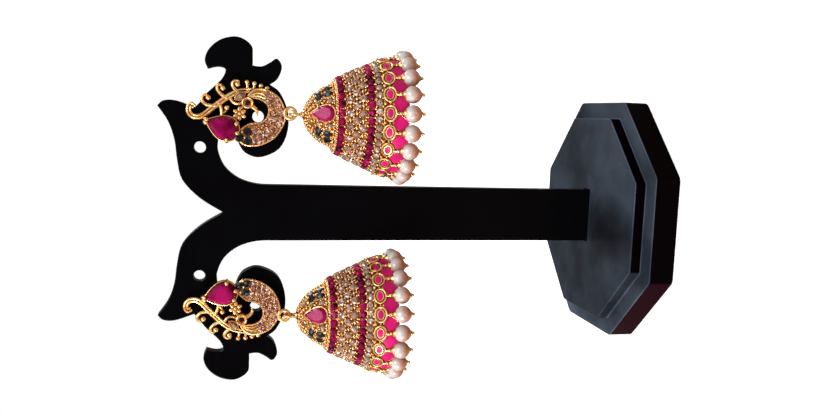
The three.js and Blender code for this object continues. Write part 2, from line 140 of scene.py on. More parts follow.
def mesh_piece(mesh, name, material, smooth_angle=35.0, place=None):
    mesh.polygons.foreach_set("use_smooth", [smooth_angle > 0] * len(mesh.polygons))
    if smooth_angle > 0:
        mesh.set_sharp_from_angle(angle=math.radians(smooth_angle))
    mesh.materials.clear()
    mesh.materials.append(material)
    piece = bpy.data.objects.new(name, mesh)
    bpy.context.scene.collection.objects.link(piece)
    if place is not None:
        piece.matrix_world = place
    return piece


def attach(piece, body, slot, *replaced):
    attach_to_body(piece, body)
    if replaced:
        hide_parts(*replaced)
    return piece


def attach_side(shape, side, name, material, angle, place, body, slot, nodes=()):
    """Makes one side's copy of a piece and hands it to the frame."""
    piece = make_piece(shape, f"{name}_{side}", get_material(material), angle, place)
    attach(piece, body, slot, *[f"{node}_{side}" for node in nodes])


def smooth_line(points, steps):
    """Catmull-Rom line through the points, as an array."""
    points = np.asarray(points, float)
    last = len(points) - 1
    line = []
    for i in range(steps + 1):
        at = i / steps * last
        k = min(int(at), last - 1)
        t = at - k
        before, start = points[max(k - 1, 0)], points[k]
        end, after = points[k + 1], points[min(k + 2, last)]
        leave, arrive = (end - before) / 2, (after - start) / 2
        line.append(
            (2 * start - 2 * end + leave + arrive) * t ** 3
            + (3 * end - 3 * start - 2 * leave - arrive) * t ** 2
            + leave * t + start
        )
    return np.array(line)


def unit(vector):
    return vector / max(np.linalg.norm(vector), 1e-12)


def leftward(line):
    """Unit steps to the left of a flat line, one at each of its points."""
    along = np.array([unit(v) for v in np.gradient(line, axis=0)])
    return np.stack([-along[:, 1], along[:, 0]], 1)


def circle(radius, count):
    angles = np.arange(count) * 2 * math.pi / count
    return np.stack([np.cos(angles), np.sin(angles)], 1) * radius


def at_height(outline, height=0.0):
    """A flat outline as corners at one height."""
    return np.column_stack([outline, np.full(len(outline), height)])


def quads(low, high, size):
    """Faces between two rings, given by the number of each ring's first corner."""
    return [(low + i, low + (i + 1) % size, high + (i + 1) % size, high + i)
            for i in range(size)]


def fan(ring, tip, size):
    """Faces between a ring and one corner."""
    return [(ring + i, ring + (i + 1) % size, tip) for i in range(size)]


def tube(path, radii, sides=10, closed=False):
    """A round wire along a path. Open ends are closed with a rounded cap."""
    path = np.asarray(path, float)
    count = len(path)
    radii = np.broadcast_to(np.asarray(radii, float), (count,))
    if closed:
        along = np.roll(path, -1, 0) - np.roll(path, 1, 0)
    else:
        along = np.gradient(path, axis=0)
    along = np.array([unit(v) for v in along])
    side = unit(np.cross(along[0], (0, 1, 0.013)))
    corners = []
    for i in range(count):
        side = unit(side - along[i] * side.dot(along[i]))
        over = np.cross(along[i], side)
        corners += [path[i] + radii[i] * (side * x + over * y) for x, y in circle(1.0, sides)]
    faces = []
    for i in range(count if closed else count - 1):
        faces += quads(i * sides, (i + 1) % count * sides, sides)
    if not closed:
        for end, step in ((0, -1), (count - 1, 1)):
            ring = corners[end * sides:(end + 1) * sides]
            onward = along[end] * radii[end] * step
            first = len(corners)
            corners += [path[end] + (c - path[end]) * 0.7 + onward * 0.5 for c in ring]
            corners.append(path[end] + onward * 0.75)
            faces += quads(end * sides, first, sides) + fan(first, first + sides, sides)
    return np.array(corners), faces


def ball(segments=10, rings=6):
    """A sphere of radius 1."""
    corners = [(0, 0, 1)]
    for i in range(1, rings):
        polar = math.pi * i / rings
        corners += [(x, y, math.cos(polar)) for x, y in circle(math.sin(polar), segments)]
    corners.append((0, 0, -1))
    faces = fan(1, 0, segments) + fan(1 + (rings - 2) * segments, len(corners) - 1, segments)
    for i in range(rings - 2):
        faces += quads(1 + i * segments, 1 + (i + 1) * segments, segments)
    return np.array(corners), faces


def torus(ring_radius, wire_radius, segments=24, sides=8):
    """A ring that lies in the plane of the first two axes."""
    return tube(at_height(circle(ring_radius, segments)), wire_radius, sides, closed=True)


def lathe(profile, segments):
    """A closed profile of (radius, height) turned about the upright axis."""
    size = len(profile)
    corners, faces = [], []
    for k, (x, y) in enumerate(circle(1.0, segments)):
        corners += [(r * x, r * y, z) for r, z in profile]
        faces += quads(k * size, (k + 1) % segments * size, size)
    return np.array(corners), faces


def layered(outlines):
    """A solid through outlines of equal length, closed by a flat face at both ends."""
    size = len(outlines[0])
    last = (len(outlines) - 1) * size
    faces = [tuple(range(size))[::-1], tuple(range(last, last + size))]
    for low in range(0, last, size):
        faces += quads(low, low + size, size)
    return np.concatenate(outlines), faces


def cut_stone(outline, crown=0.5, belly=0.45, table=0.55):
    """A faceted stone over a flat outline: kite facets from girdle to table, narrow below."""
    outline = np.asarray(outline, float)
    size = len(outline)
    middle = outline.mean(0)
    between = (outline + np.roll(outline, -1, 0)) / 2
    levels = ((outline, 0.6, -belly), (outline, 1.0, -0.06), (outline, 1.0, 0.04),
              (between, 0.83, crown * 0.62), (outline, table, crown))
    corners = np.concatenate([at_height(middle + (points - middle) * scale, height)
                              for points, scale, height in levels])
    low, girdle, edge, kite, top = (n * size for n in range(5))
    faces = [tuple(range(size))[::-1], tuple(range(top, top + size))]
    faces += quads(low, girdle, size) + quads(girdle, edge, size)
    for i in range(size):
        j = (i + 1) % size
        faces += [(edge + i, edge + j, kite + i), (edge + j, top + j, kite + i),
                  (edge + j, kite + j, top + j), (kite + i, top + j, top + i)]
    return corners, faces


def pear_outline(length, width, flank=5, around=9):
    """A pear with its point up and its round end's centre at the middle."""
    half = width / 2
    tip = length - half
    start, pull_a = np.array([0.0, tip]), np.array([-0.35 * half, 0.75 * tip])
    pull_b, end = np.array([-half, 0.4 * tip]), np.array([-half, 0.0])
    left = []
    for i in range(flank):
        t = i / flank
        left.append(start * (1 - t) ** 3 + 3 * pull_a * t * (1 - t) ** 2
                    + 3 * pull_b * t ** 2 * (1 - t) + end * t ** 3)
    angles = math.pi + np.arange(around + 1) / around * math.pi
    bottom = np.stack([np.cos(angles), np.sin(angles)], 1) * half
    right = [(-x, y) for x, y in left[1:]][::-1]
    return np.array(left + [tuple(p) for p in bottom] + right)


GRAIN = ball(8, 5)
ROUND_STONE = cut_stone(circle(1.0, 8), crown=0.55, belly=0.5, table=0.52)
SEAT = torus(1.02, 0.1, 14, 6)


# ---- Places on the bell --------------------

SKIRT_LINE = smooth_line(SKIRT, 60)
CAP_CURVE = smooth_line(CAP_LINE, 60)


def line_at(line, drop):
    """Radius and slope of a turned outline at a distance below the hinge."""
    radius = np.interp(drop, line[:, 1], line[:, 0])
    ahead = np.interp(drop + 0.2, line[:, 1], line[:, 0])
    behind = np.interp(drop - 0.2, line[:, 1], line[:, 0])
    return radius, math.atan2(ahead - behind, 0.4)


def bell_spot(azimuth, drop, radius, slope, lift=0.0, scale=1.0):
    """A place on the bell. Azimuth 0 faces the front. The first axis points round the bell,
    the second up the slope and the third straight out of the surface."""
    outward = np.array([math.sin(azimuth), -math.cos(azimuth), 0.0])
    around = np.array([math.cos(azimuth), math.sin(azimuth), 0.0])
    upright = np.array([0.0, 0.0, 1.0])
    out = outward * math.cos(slope) + upright * math.sin(slope)
    up = upright * math.cos(slope) - outward * math.sin(slope)
    origin = outward * radius - upright * drop + out * lift
    return origin, np.array([around, up, out]), scale


def skirt_spot(azimuth, drop, lift=0.0, scale=1.0):
    radius, slope = line_at(SKIRT_LINE, drop)
    return bell_spot(azimuth, drop, radius, slope, lift, scale)


def cap_spot(azimuth, polar, lift=0.0, scale=1.0):
    """A place on the cap. Polar 0 is its top and 90 degrees its foot."""
    drop = CAP["top"] + (CAP["foot"] - CAP["top"]) * (1 - math.cos(polar))
    radius, slope = line_at(CAP_CURVE, drop)
    return bell_spot(azimuth, drop, radius, slope, lift, scale)


def round_the_bell(count, turn=0.0):
    return [(i + turn) * 2 * math.pi / count for i in range(count)]


# ---- Node groups and materials --------------------

class Nodes:
    """Short names for adding nodes and links to one node tree."""

    def __init__(self, tree):
        self.tree = tree

    def new(self, kind, **values):
        node = self.tree.nodes.new(kind)
        for name, value in values.items():
            setattr(node, name, value)
        return node

    def link(self, source, target):
        self.tree.links.new(source, target)

    def feed(self, socket, value):
        """Sets a socket to a number or colour, or links another node's output to it."""
        if isinstance(value, (int, float, tuple)):
            socket.default_value = value
        elif value is not None:
            self.link(value, socket)

    def math(self, operation, first, second=None, clamp=False):
        node = self.new("ShaderNodeMath", operation=operation, use_clamp=clamp)
        for socket, value in zip(node.inputs, (first, second)):
            self.feed(socket, value)
        return node.outputs[0]

    def plus(self, first, second, clamp=False):
        return self.math("ADD", first, second, clamp)

    def times(self, first, second, clamp=False):
        return self.math("MULTIPLY", first, second, clamp)

    def place(self):
        """Places in a piece's own space, in metres."""
        return self.new("ShaderNodeTexCoord").outputs["Object"]

    def split(self, vector):
        """The X, Y and Z of a vector."""
        node = self.new("ShaderNodeSeparateXYZ")
        self.link(vector, node.inputs[0])
        return node.outputs

    def mix(self, factor, first, second):
        node = self.new("ShaderNodeMix", data_type="RGBA")
        for number, value in ((0, factor), (6, first), (7, second)):
            self.feed(node.inputs[number], value)
        return node.outputs[2]

    def spread(self, value, low, high, to_low=0.0, to_high=1.0):
        node = self.new("ShaderNodeMapRange")
        self.link(value, node.inputs[0])
        for socket, number in zip(node.inputs[1:5], (low, high, to_low, to_high)):
            socket.default_value = number
        return node.outputs[0]

    def noise(self, scale, detail=3.0, vector=None):
        node = self.new("ShaderNodeTexNoise")
        for title, value in (("Scale", scale), ("Detail", detail), ("Vector", vector)):
            self.feed(node.inputs[title], value)
        return node.outputs["Fac"]


def start_group(name, inputs, outputs):
    """A shader node group with named sockets, given as {name: (socket kind, default)}."""
    group = bpy.data.node_groups.new(name, "ShaderNodeTree")
    for title, (kind, default) in inputs.items():
        socket = group.interface.new_socket(title, in_out="INPUT", socket_type=kind)
        socket.default_value = default
    for title, kind in outputs.items():
        group.interface.new_socket(title, in_out="OUTPUT", socket_type=kind)
    nodes = Nodes(group)
    return group, nodes, nodes.new("NodeGroupInput"), nodes.new("NodeGroupOutput")


COLOUR, NUMBER = "NodeSocketColor", "NodeSocketFloat"
LOOK = "_look"


def hollow_shade_group(title):
    """Painted shade: deep places take a darker colour and open places another."""
    group, nodes, start, end = start_group(
        title,
        {"Open": (COLOUR, (1, 1, 1, 1)), "Hollow": (COLOUR, (0, 0, 0, 1)),
         "Reach": (NUMBER, 0.0006), "Amount": (NUMBER, 1.0)},
        {"Colour": COLOUR, "Mask": NUMBER},
    )
    # Ambient occlusion finds where shade falls between parts; that shade is painted into the
    # colour.
    shade = nodes.new("ShaderNodeAmbientOcclusion", samples=6)
    nodes.link(start.outputs["Reach"], shade.inputs["Distance"])
    deep = nodes.spread(shade.outputs["AO"], 0.35, 0.95, 1.0, 0.0)
    mask = nodes.times(deep, start.outputs["Amount"], clamp=True)
    colour = nodes.mix(mask, start.outputs["Open"], start.outputs["Hollow"])
    nodes.link(colour, end.inputs["Colour"])
    nodes.link(mask, end.inputs["Mask"])
    return group


def fine_wear_group(title):
    """Soft unevenness and thin scratches, as a height and a roughness mask."""
    group, nodes, start, end = start_group(
        title,
        {"Grain Scale": (NUMBER, 2500.0), "Scratch Scale": (NUMBER, 700.0)},
        {"Height": NUMBER, "Mask": NUMBER},
    )
    place = nodes.place()
    grain = nodes.noise(start.outputs["Grain Scale"], 2.0, place)
    stretch = nodes.new("ShaderNodeMapping")
    stretch.inputs["Scale"].default_value = (1.0, 0.25, 6.0)
    stretch.inputs["Rotation"].default_value = (0.3, 0.7, 0.2)
    nodes.link(place, stretch.inputs["Vector"])
    scratch = nodes.noise(start.outputs["Scratch Scale"], 2.0, stretch.outputs["Vector"])
    lines = nodes.spread(scratch, 0.56, 0.62)
    height = nodes.math("SUBTRACT", grain, nodes.times(lines, 0.35))
    nodes.link(height, end.inputs["Height"])
    nodes.link(lines, end.inputs["Mask"])
    return group


def painted_facet_light_group(title):
    """Painted reflections: patches of light and dark that differ from facet to facet and from stone
    to stone, with painted glints.
    """
    group, nodes, start, end = start_group(
        title,
        {"Deep": (COLOUR, (0, 0, 0, 1)), "Body": (COLOUR, (0.5, 0.5, 0.5, 1)),
         "Spark": (COLOUR, (1, 1, 1, 1)), "Cell Scale": (NUMBER, 2200.0),
         "Spark Share": (NUMBER, 0.2)},
        {"Colour": COLOUR, "Height": NUMBER},
    )
    place = nodes.place()
    cells = nodes.new("ShaderNodeTexVoronoi", distance="MANHATTAN")
    nodes.link(place, cells.inputs["Vector"])
    nodes.link(start.outputs["Cell Scale"], cells.inputs["Scale"])
    tone = nodes.new("ShaderNodeSeparateColor")
    nodes.link(cells.outputs["Color"], tone.inputs[0])
    by_stone = nodes.spread(nodes.noise(420.0, 1.0, place), 0.36, 0.6, 0.4, 1.0)
    # Painted reflections: lit and dark patches by facet cell and by stone.
    light = nodes.times(nodes.spread(tone.outputs[0], 0.1, 0.6), by_stone, clamp=True)
    colour = nodes.mix(light, start.outputs["Deep"], start.outputs["Body"])
    # Painted glints: the share of brightest cells that takes the spark colour.
    edge = nodes.math("SUBTRACT", 1.0, start.outputs["Spark Share"])
    glint = nodes.math("GREATER_THAN", tone.outputs[1], edge)
    colour = nodes.mix(nodes.times(glint, 0.85), colour, start.outputs["Spark"])
    nodes.link(colour, end.inputs["Colour"])
    nodes.link(tone.outputs[2], end.inputs["Height"])
    return group


GROUPS = {"Painted Hollow Shade": hollow_shade_group, "Fine Wear": fine_wear_group,
          "Painted Facet Light": painted_facet_light_group}


def use_group(nodes, title, **values):
    """A node that uses one of the groups, which is made when first asked for."""
    group = bpy.data.node_groups.get(title) or GROUPS[title](title)
    node = nodes.new("ShaderNodeGroup", node_tree=group)
    for name, value in values.items():
        node.inputs[name.replace("_", " ")].default_value = value
    return node


def start_material(name, **sockets):
    """A material with a Principled BSDF whose plain values are set on its own sockets."""
    material = bpy.data.materials.new(name + LOOK)
    material.use_nodes = True
    nodes = Nodes(material.node_tree)
    shader = material.node_tree.nodes["Principled BSDF"]
    for title, value in sockets.items():
        shader.inputs[title.replace("_", " ")].default_value = value
    return material, nodes, shader


def add_bump(nodes, shader, height, strength, distance):
    bump = nodes.new("ShaderNodeBump")
    bump.inputs["Strength"].default_value = strength
    bump.inputs["Distance"].default_value = distance
    nodes.link(height, bump.inputs["Height"])
    nodes.link(bump.outputs["Normal"], shader.inputs["Normal"])


def paint_hollow_shade(nodes, shader, open_tone, hollow, reach, amount):
    """Paints shade into a shader's colour by how deep a place lies, and gives the mask of that
    painted shade.
    """
    tone = use_group(nodes, "Painted Hollow Shade", Reach=reach, Hollow=rgba(hollow), Amount=amount)
    nodes.link(open_tone, tone.inputs["Open"])
    nodes.link(tone.outputs["Colour"], shader.inputs["Base Color"])
    return tone.outputs["Mask"]


def add_roughness(nodes, shader, wear, base, wear_share, rough_mask, rough_mask_share):
    """Rougher where the surface is worn and where a second mask lies: the painted hollow shade on
    gilding, dust and painted sheen on plastic.
    """
    rough = nodes.plus(nodes.times(wear.outputs["Mask"], wear_share),
                       nodes.times(rough_mask, rough_mask_share))
    nodes.link(nodes.plus(rough, base), shader.inputs["Roughness"])


def rgba(colour):
    return (*colour[:3], 1.0)


def gilt_material(name, look, tone_name, reach, roughness):
    """Warm gilding: bright on raised wires, with red-brown painted shade in the hollows between
    them.
    """
    material, nodes, shader = start_material(name, Metallic=1.0, Roughness=roughness)
    open_tone = nodes.mix(nodes.spread(nodes.noise(900.0, 2.0, nodes.place()), 0.38, 0.62),
                          rgba(getattr(look, tone_name)), rgba(look.gilt_warm))
    # Painted shade in the hollows, found by ambient occlusion.
    shade = paint_hollow_shade(nodes, shader, open_tone, look.hollow_shade_colour, reach, 1.0)
    wear = use_group(nodes, "Fine Wear")
    add_roughness(nodes, shader, wear, roughness, 0.12, shade, 0.2)
    add_bump(nodes, shader, wear.outputs["Height"], 0.3, 0.00005)
    return material


def stone_material(name, look, deep, body, spark, cell, share, gloss, metallic=0.0):
    """A foil-backed cut stone with painted reflections, from the colour of its depths to that of
    its painted glints.
    """
    material, nodes, shader = start_material(
        name, Roughness=0.07, Metallic=metallic, IOR=1.55, Specular_IOR_Level=gloss)
    if isinstance(body, str):
        body = getattr(look, body)
    painted_facets = use_group(nodes, "Painted Facet Light", Deep=rgba(deep), Body=rgba(body), Spark=rgba(spark),
                     Cell_Scale=cell, Spark_Share=share)
    nodes.link(painted_facets.outputs["Colour"], shader.inputs["Base Color"])
    add_bump(nodes, shader, painted_facets.outputs["Height"], 0.3, 0.0001)
    return material


BIG_RUBY_DEPTH = (0.1, 0.0, 0.02, 1.0)


def smooth_stone_material(name, look):
    """A large clear stone over foil: slow changes of depth and no small facets."""
    material, nodes, shader = start_material(
        name, Roughness=0.08, IOR=1.5, Specular_IOR_Level=0.1)
    place = nodes.place()
    depth = nodes.spread(nodes.noise(260.0, 2.0, place), 0.35, 0.62)
    nodes.link(nodes.mix(depth, BIG_RUBY_DEPTH, rgba(look.big_ruby_colour)),
               shader.inputs["Base Color"])
    add_bump(nodes, shader, nodes.noise(420.0, 2.0, place), 0.1, 0.0001)
    return material


WARM_REFLECTION_HEIGHTS = (0.0013, -0.0003)   # where the painted warm reflection starts and is full, metres


def pearl_material(name, look):
    """Imitation pearl: silvery above, with a peach painted reflection towards its lower end."""
    material, nodes, shader = start_material(
        name, Roughness=0.3, Coat_Weight=0.5, Coat_Roughness=0.12, IOR=1.45)
    place = nodes.place()
    # Painted reflection: a peach tint that grows towards the pearl's lower end, with a cloudy edge.
    cloud = nodes.times(nodes.noise(700.0, 2.0, place), 0.0009)
    reflected_tint_and_flecks = nodes.spread(nodes.plus(nodes.split(place)["Z"], cloud), *WARM_REFLECTION_HEIGHTS)
    # Small flecks take the same peach tint.
    flecks = nodes.spread(nodes.noise(2300.0, 2.0, place), 0.54, 0.7, 0.0, 0.4)
    reflected_tint_and_flecks = nodes.plus(reflected_tint_and_flecks, flecks, clamp=True)
    colour = nodes.mix(reflected_tint_and_flecks, rgba(look.pearl_colour), rgba(look.pearl_reflection_and_flecks))
    # Painted shade: brown darkening where the pearl lies deep beside its cup, pin and neighbours.
    paint_hollow_shade(nodes, shader, colour, (0.36, 0.16, 0.08), 0.0014, 0.7)
    add_bump(nodes, shader, nodes.noise(2500.0, 2.0, place), 0.12, 0.00003)
    return material


def enamel_material(name, look):
    material, nodes, shader = start_material(name, Roughness=0.35, Specular_IOR_Level=0.2)
    place = nodes.place()
    clouds = nodes.spread(nodes.noise(300.0, 3.0, place), 0.4, 0.75)
    deeper = [channel * 0.65 for channel in look.enamel_colour]
    colour = nodes.mix(clouds, rgba(look.enamel_colour), rgba(deeper))
    nodes.link(colour, shader.inputs["Base Color"])
    add_bump(nodes, shader, nodes.noise(900.0, 2.0, place), 0.12, 0.00006)
    return material


# Where the foot's top shows a painted dark reflection of the post: less dust and sheen in this
# patch.
POST_REFLECTION_PATCH = [("X", -0.0015, 0.0065), ("Y", -0.0115, 0.0095)]   # axis, middle, reach, metres


def foot_painted_light(nodes, place, facing, level, ledge_dust_and_sheen):
    """Painted light on the foot: a warm painted reflection on its lower forward-left wall, painted
    sheen on the upper forward-left wall, a painted dark reflection of the post on its top, and a
    lighter lit ledge on the left.
    """
    spot = nodes.split(place)
    side = nodes.spread(nodes.plus(facing["X"], facing["Y"]), -1.3, -1.4)
    step = FOOT["lower_top"] * MM
    low = nodes.spread(spot["Z"], step + 0.0002, step - 0.0002)
    # Painted sheen: the upper tier's forward-left wall takes dust and sheen.
    upper_wall = nodes.times(side, nodes.math("SUBTRACT", 1.0, low))
    level = nodes.plus(level, nodes.times(upper_wall, ledge_dust_and_sheen))
    # Painted reflection of the post: dust and sheen drop in a patch before it, leaving it darker.
    across, ahead = (
        nodes.math("DIVIDE", nodes.math("SUBTRACT", spot[axis], middle), reach)
        for axis, middle, reach in POST_REFLECTION_PATCH)
    reach = nodes.plus(nodes.times(across, across), nodes.times(ahead, ahead))
    level = nodes.times(level, nodes.spread(reach, 0.2, 1.4, 0.38, 1.0))
    # Painted light: the lower ledge grows lighter towards the left, where the key light falls.
    tread = nodes.spread(spot["Z"], step + 0.0006, step + 0.0003)
    painted_ledge_light = nodes.times(tread, nodes.spread(spot["X"], 0.0, -0.018))
    level = nodes.times(level, nodes.plus(1.0, painted_ledge_light))
    # The lower tier's forward-left wall is returned for the warm painted reflection.
    return level, nodes.times(side, low)


PLASTIC_ROUGHNESS = 0.2
RIM_HIGHLIGHT = 1.9   # painted highlight on a rounded rim, against the dust and painted sheen on a ledge


def plastic_material(name, look, tone_name, dust, ledge_dust_and_sheen, gloss, cast=None):
    """Polished black plastic with thin scuffs and dust; dust and a painted sheen lie thicker on
    faces that look up, and rounded rims take a painted highlight.
    """
    material, nodes, shader = start_material(
        name, Roughness=PLASTIC_ROUGHNESS, IOR=1.45, Specular_IOR_Level=gloss)
    place = nodes.place()
    facing = nodes.split(nodes.new("ShaderNodeNewGeometry").outputs["Normal"])
    # Faces that look up take dust and a painted sheen; rounded rims take a painted highlight line.
    ledge = nodes.spread(facing["Z"], 0.8, 0.98)
    rim = nodes.math("SUBTRACT", nodes.spread(facing["Z"], 0.25, 0.5), ledge)
    level = nodes.plus(ledge, nodes.times(rim, RIM_HIGHLIGHT))
    level = nodes.spread(level, 0.0, RIM_HIGHLIGHT, dust, dust + ledge_dust_and_sheen * RIM_HIGHLIGHT)
    ground = rgba(getattr(look, tone_name))
    # On the foot, the cast colour is a warm painted reflection on the lower forward-left wall, and
    # more painted light and shade is added.
    if cast:
        level, side = foot_painted_light(nodes, place, facing, level, ledge_dust_and_sheen)
        ground = nodes.mix(side, ground, rgba(cast))
    clouds = nodes.spread(nodes.noise(70.0, 5.0, place), 0.35, 0.7, 0.4, 1.4)
    # Clouds of dust and painted sheen; the specks below are dust.
    rough_mask = nodes.times(clouds, level)
    specks = nodes.times(nodes.spread(nodes.noise(1900.0, 2.0, place), 0.66, 0.86), level)
    amount = nodes.plus(rough_mask, specks, clamp=True)
    nodes.link(nodes.mix(amount, ground, rgba(look.dust_and_sheen_colour)), shader.inputs["Base Color"])
    wear = use_group(nodes, "Fine Wear", Grain_Scale=300.0, Scratch_Scale=120.0)
    add_roughness(nodes, shader, wear, PLASTIC_ROUGHNESS, 0.08, rough_mask, 0.25)
    add_bump(nodes, shader, wear.outputs["Height"], 0.02, 0.0001)
    return material


# How each finish is made, and what its maker is told. A text stands for a colour setting.
# Stones: deep (painted dark), body and spark (painted glint) colours, facet cell scale, share of
# sparks, gloss and foil.
FINISHES = {
    "gilt": (gilt_material, "gilt_colour", 0.0006, 0.2),
    # A darker, shaded copy of the gilt for the bell body: painted shade between the set stones.
    "gilt_ground": (gilt_material, "shaded_ground_colour", 0.0009, 0.3),
    "gilt_cast": (gilt_material, "gilt_colour", 0.0005, 0.33),
    "pearl": (pearl_material,),
    "pink_enamel": (enamel_material,),
    "plate_black": (plastic_material, "plate_colour", 0.006, 0.0, 0.025),
    # The foot's last entry is the warm painted reflection on its forward-left wall.
    "foot_black": (plastic_material, "foot_colour", 0.0, 0.32, 0.015, (0.017, 0.003, 0.0065)),
    "big_ruby": (smooth_stone_material,),
    "ruby": (stone_material, (0.02, 0.0, 0.004), "ruby_colour", (0.65, 0.03, 0.2), 1500.0, 0.1,
             0.1),
    "garnet": (stone_material, (0.01, 0.0, 0.0), (0.07, 0.004, 0.003), (0.35, 0.03, 0.02),
               2200.0, 0.15, 0.3),
    "champagne": (stone_material, (0.16, 0.06, 0.035), "champagne_colour", (1.0, 0.93, 0.87),
                  2600.0, 0.13, 0.5, 0.2),
    "rose_stone": (stone_material, (0.14, 0.035, 0.02), (0.5, 0.24, 0.17), (1.0, 0.85, 0.8),
                   2600.0, 0.12, 0.4, 0.2),
    "crystal": (stone_material, (0.2, 0.11, 0.06), (0.56, 0.43, 0.33), (1.0, 0.97, 0.93),
                2600.0, 0.14, 0.5, 0.25),
    "dark_stone": (stone_material, (0.001, 0.002, 0.003), (0.009, 0.014, 0.018),
                   (0.1, 0.14, 0.16), 2200.0, 0.16, 0.3),
}


def get_material(name):
    """One of this object's finishes, made when first asked for."""
    made = bpy.data.materials.get(name + LOOK)
    if made:
        return made
    maker, *facts = FINISHES[name]
    return maker(name, bpy.context.scene.jhumka_colours, *facts)


# ---- Settings that a user would change --------------------

def colour_property(name, description, default):
    return FloatVectorProperty(
        name=name, description=description, default=default, subtype="COLOR",
        size=3, min=0.0, max=1.0)


def length_property(name, description, default):
    return FloatProperty(
        name=name, description=description, default=default * MM, min=0.0, unit="LENGTH",
        precision=5)


def amount_property(name, description, default, least=0.0, **more):
    return FloatProperty(
        name=name, description=description, default=default, min=least, **more)


class JhumkaColours(bpy.types.PropertyGroup):
    """Colours of the metal, stones, pearls, enamel and stand."""

    gilt_colour: colour_property("Gilt", "Gilding on open surfaces", (1.0, 0.71, 0.35))
    gilt_warm: colour_property("Warm gilt", "Redder patches of the gilding", (0.98, 0.5, 0.16))
    # Colour of the painted shade in the hollows of the gilding.
    hollow_shade_colour: colour_property("Hollows", "Gilding deep between wires", (0.36, 0.075, 0.012))
    # A darker copy of the gilding: painted shade between the set stones.
    shaded_ground_colour: colour_property("Ground", "Gilding under the set stones", (0.7, 0.29, 0.06))
    ruby_colour: colour_property("Ruby", "Body colour of the small red stones",
                                 (0.36, 0.001, 0.07))
    big_ruby_colour: colour_property("Large ruby", "Body colour of the pear stones",
                                     (0.38, 0.007, 0.105))
    champagne_colour: colour_property("Champagne", "Small pinkish stones", (0.46, 0.28, 0.2))
    enamel_colour: colour_property("Enamel", "Pink enamel of the band", (0.72, 0.007, 0.175))
    pearl_colour: colour_property("Pearl", "Silvery white of the pearls", (0.62, 0.61, 0.59))
    # Peach of the painted reflection on the pearls' lower ends, also used for their flecks.
    pearl_reflection_and_flecks: colour_property("Pearl reflection and flecks", "Peach lower ends of pearls", (0.5, 0.18, 0.095))
    plate_colour: colour_property("Plate", "Black of the stand's plate", (0.0015, 0.0011, 0.0015))
    foot_colour: colour_property("Foot", "Black of the stand's foot", (0.0022, 0.0008, 0.0013))
    # Colour of the dust on the stand, which also stands in for its painted blue-grey sheen.
    dust_and_sheen_colour: colour_property("Dust and sheen", "Film of dust on the stand", (0.088, 0.115, 0.155))


class JhumkaSizes(bpy.types.PropertyGroup):
    """Sizes of small details that the frame leaves open."""

    plate_edge: length_property("Plate edge", "Rounding of the plate's edges", 0.3)
    foot_edge: length_property("Foot edge", "Rounding of the foot's edges", 0.3)
    grain: length_property("Grain", "Radius of the gilt grains between stones", 0.26)
    gallery_wire: length_property("Gallery wire", "Wire radius of the ring gallery", 0.21)
    pearl: length_property("Pearl", "Radius of a pearl", 1.7)
    pin_tip: length_property("Pin tip", "Radius of the bead under a pearl", 0.34)
    scatter_seed: IntProperty(
        name="Scatter seed", description="Picks where the cap's loose grains fall", default=7)


class JhumkaStage(bpy.types.PropertyGroup):
    """Floor, lights and camera."""

    floor_colour: colour_property("Floor", "Pale floor and backdrop", (0.97, 0.97, 0.97))
    bounce_colour: colour_property("Bounce", "Light that the floor throws back up",
                                   (0.4, 0.34, 0.29))
    floor_glow: amount_property("Floor glow", "Lifts the floor to a clean pale tone", 0.45)
    horizon_colour: colour_property("Horizon", "Tint of the light near the horizon",
                                    (1.0, 0.95, 0.9))
    horizon_light: amount_property(
        "Horizon light", "Strength of the tent's light near the horizon", 0.25)
    zenith_light: amount_property(
        "Overhead light", "Strength of the tent's light overhead", 0.85)
    key_power: amount_property("Key light", "Power of the main soft light", 2.0, unit="POWER")
    lens: amount_property("Lens", "Focal length of the camera in millimetres", 33.9, 10.0)


# ---- Stand --------------------

# Half of the plate's outline, from the cleft in its crown round to the post, as (x, z).
PLATE_HALF = [
    {"part": "crown wing", "steps": 24, "through": [
        (0, 86.6), (2.8, 91.1), (6.4, 94.5), (10.3, 95.5), (14.2, 96), (17.8, 97.2),
        (20.8, 99.2)]},
    {"part": "wing tip", "steps": 14, "through": [
        (20.8, 99.2), (21.8, 98.1), (21.9, 95.8), (20.7, 92.2)]},
    {"part": "lobe under the wing", "steps": 20, "through": [
        (20.7, 92.2), (22, 91), (23.5, 90), (26.3, 87.2), (28.3, 86.4), (28.8, 87.8),
        (28.3, 89.8)]},
    {"part": "hook", "steps": 30, "through": [
        (28.3, 89.8), (30, 90.35), (32.2, 89.5), (34.1, 87.2), (34.7, 84), (33.2, 81.5),
        (31, 81.2), (29.3, 81.2)]},
    {"part": "lower curl", "steps": 26, "through": [
        (29.3, 81.2), (29.2, 79.5), (30, 77.9), (30.85, 76.5), (29.3, 75.5), (26.9, 76.3),
        (25.7, 77.8)]},
    {"part": "disc", "steps": 30, "through": [
        (25.7, 77.8), (24.2, 75.8), (20.5, 74.2), (16.4, 74.2), (12.9, 75.9), (11.2, 79.6),
        (12, 82.4), (13.7, 83.7)]},
    {"part": "inner notch", "steps": 10, "through": [
        (13.7, 83.7), (15.6, 84.5), (15.9, 86.1), (14.5, 87.7)]},
    {"part": "shoulder", "steps": 20, "through": [
        (14.5, 87.7), (12.3, 87.75), (9.2, 86.4), (6.9, 83.6), (5.8, 80), (5.68, 76)]},
]
PLATE_FOOT = 2.7
SPARE_HOLES = [{"x": 12.9, "z": 91.2, "radius": 1.15}, {"x": 19.3, "z": 80, "radius": 1.15}]
POST = {"u": -2.0, "v": 12.6, "radius": 0.45, "tip": 6.0, "hole": 0.8}
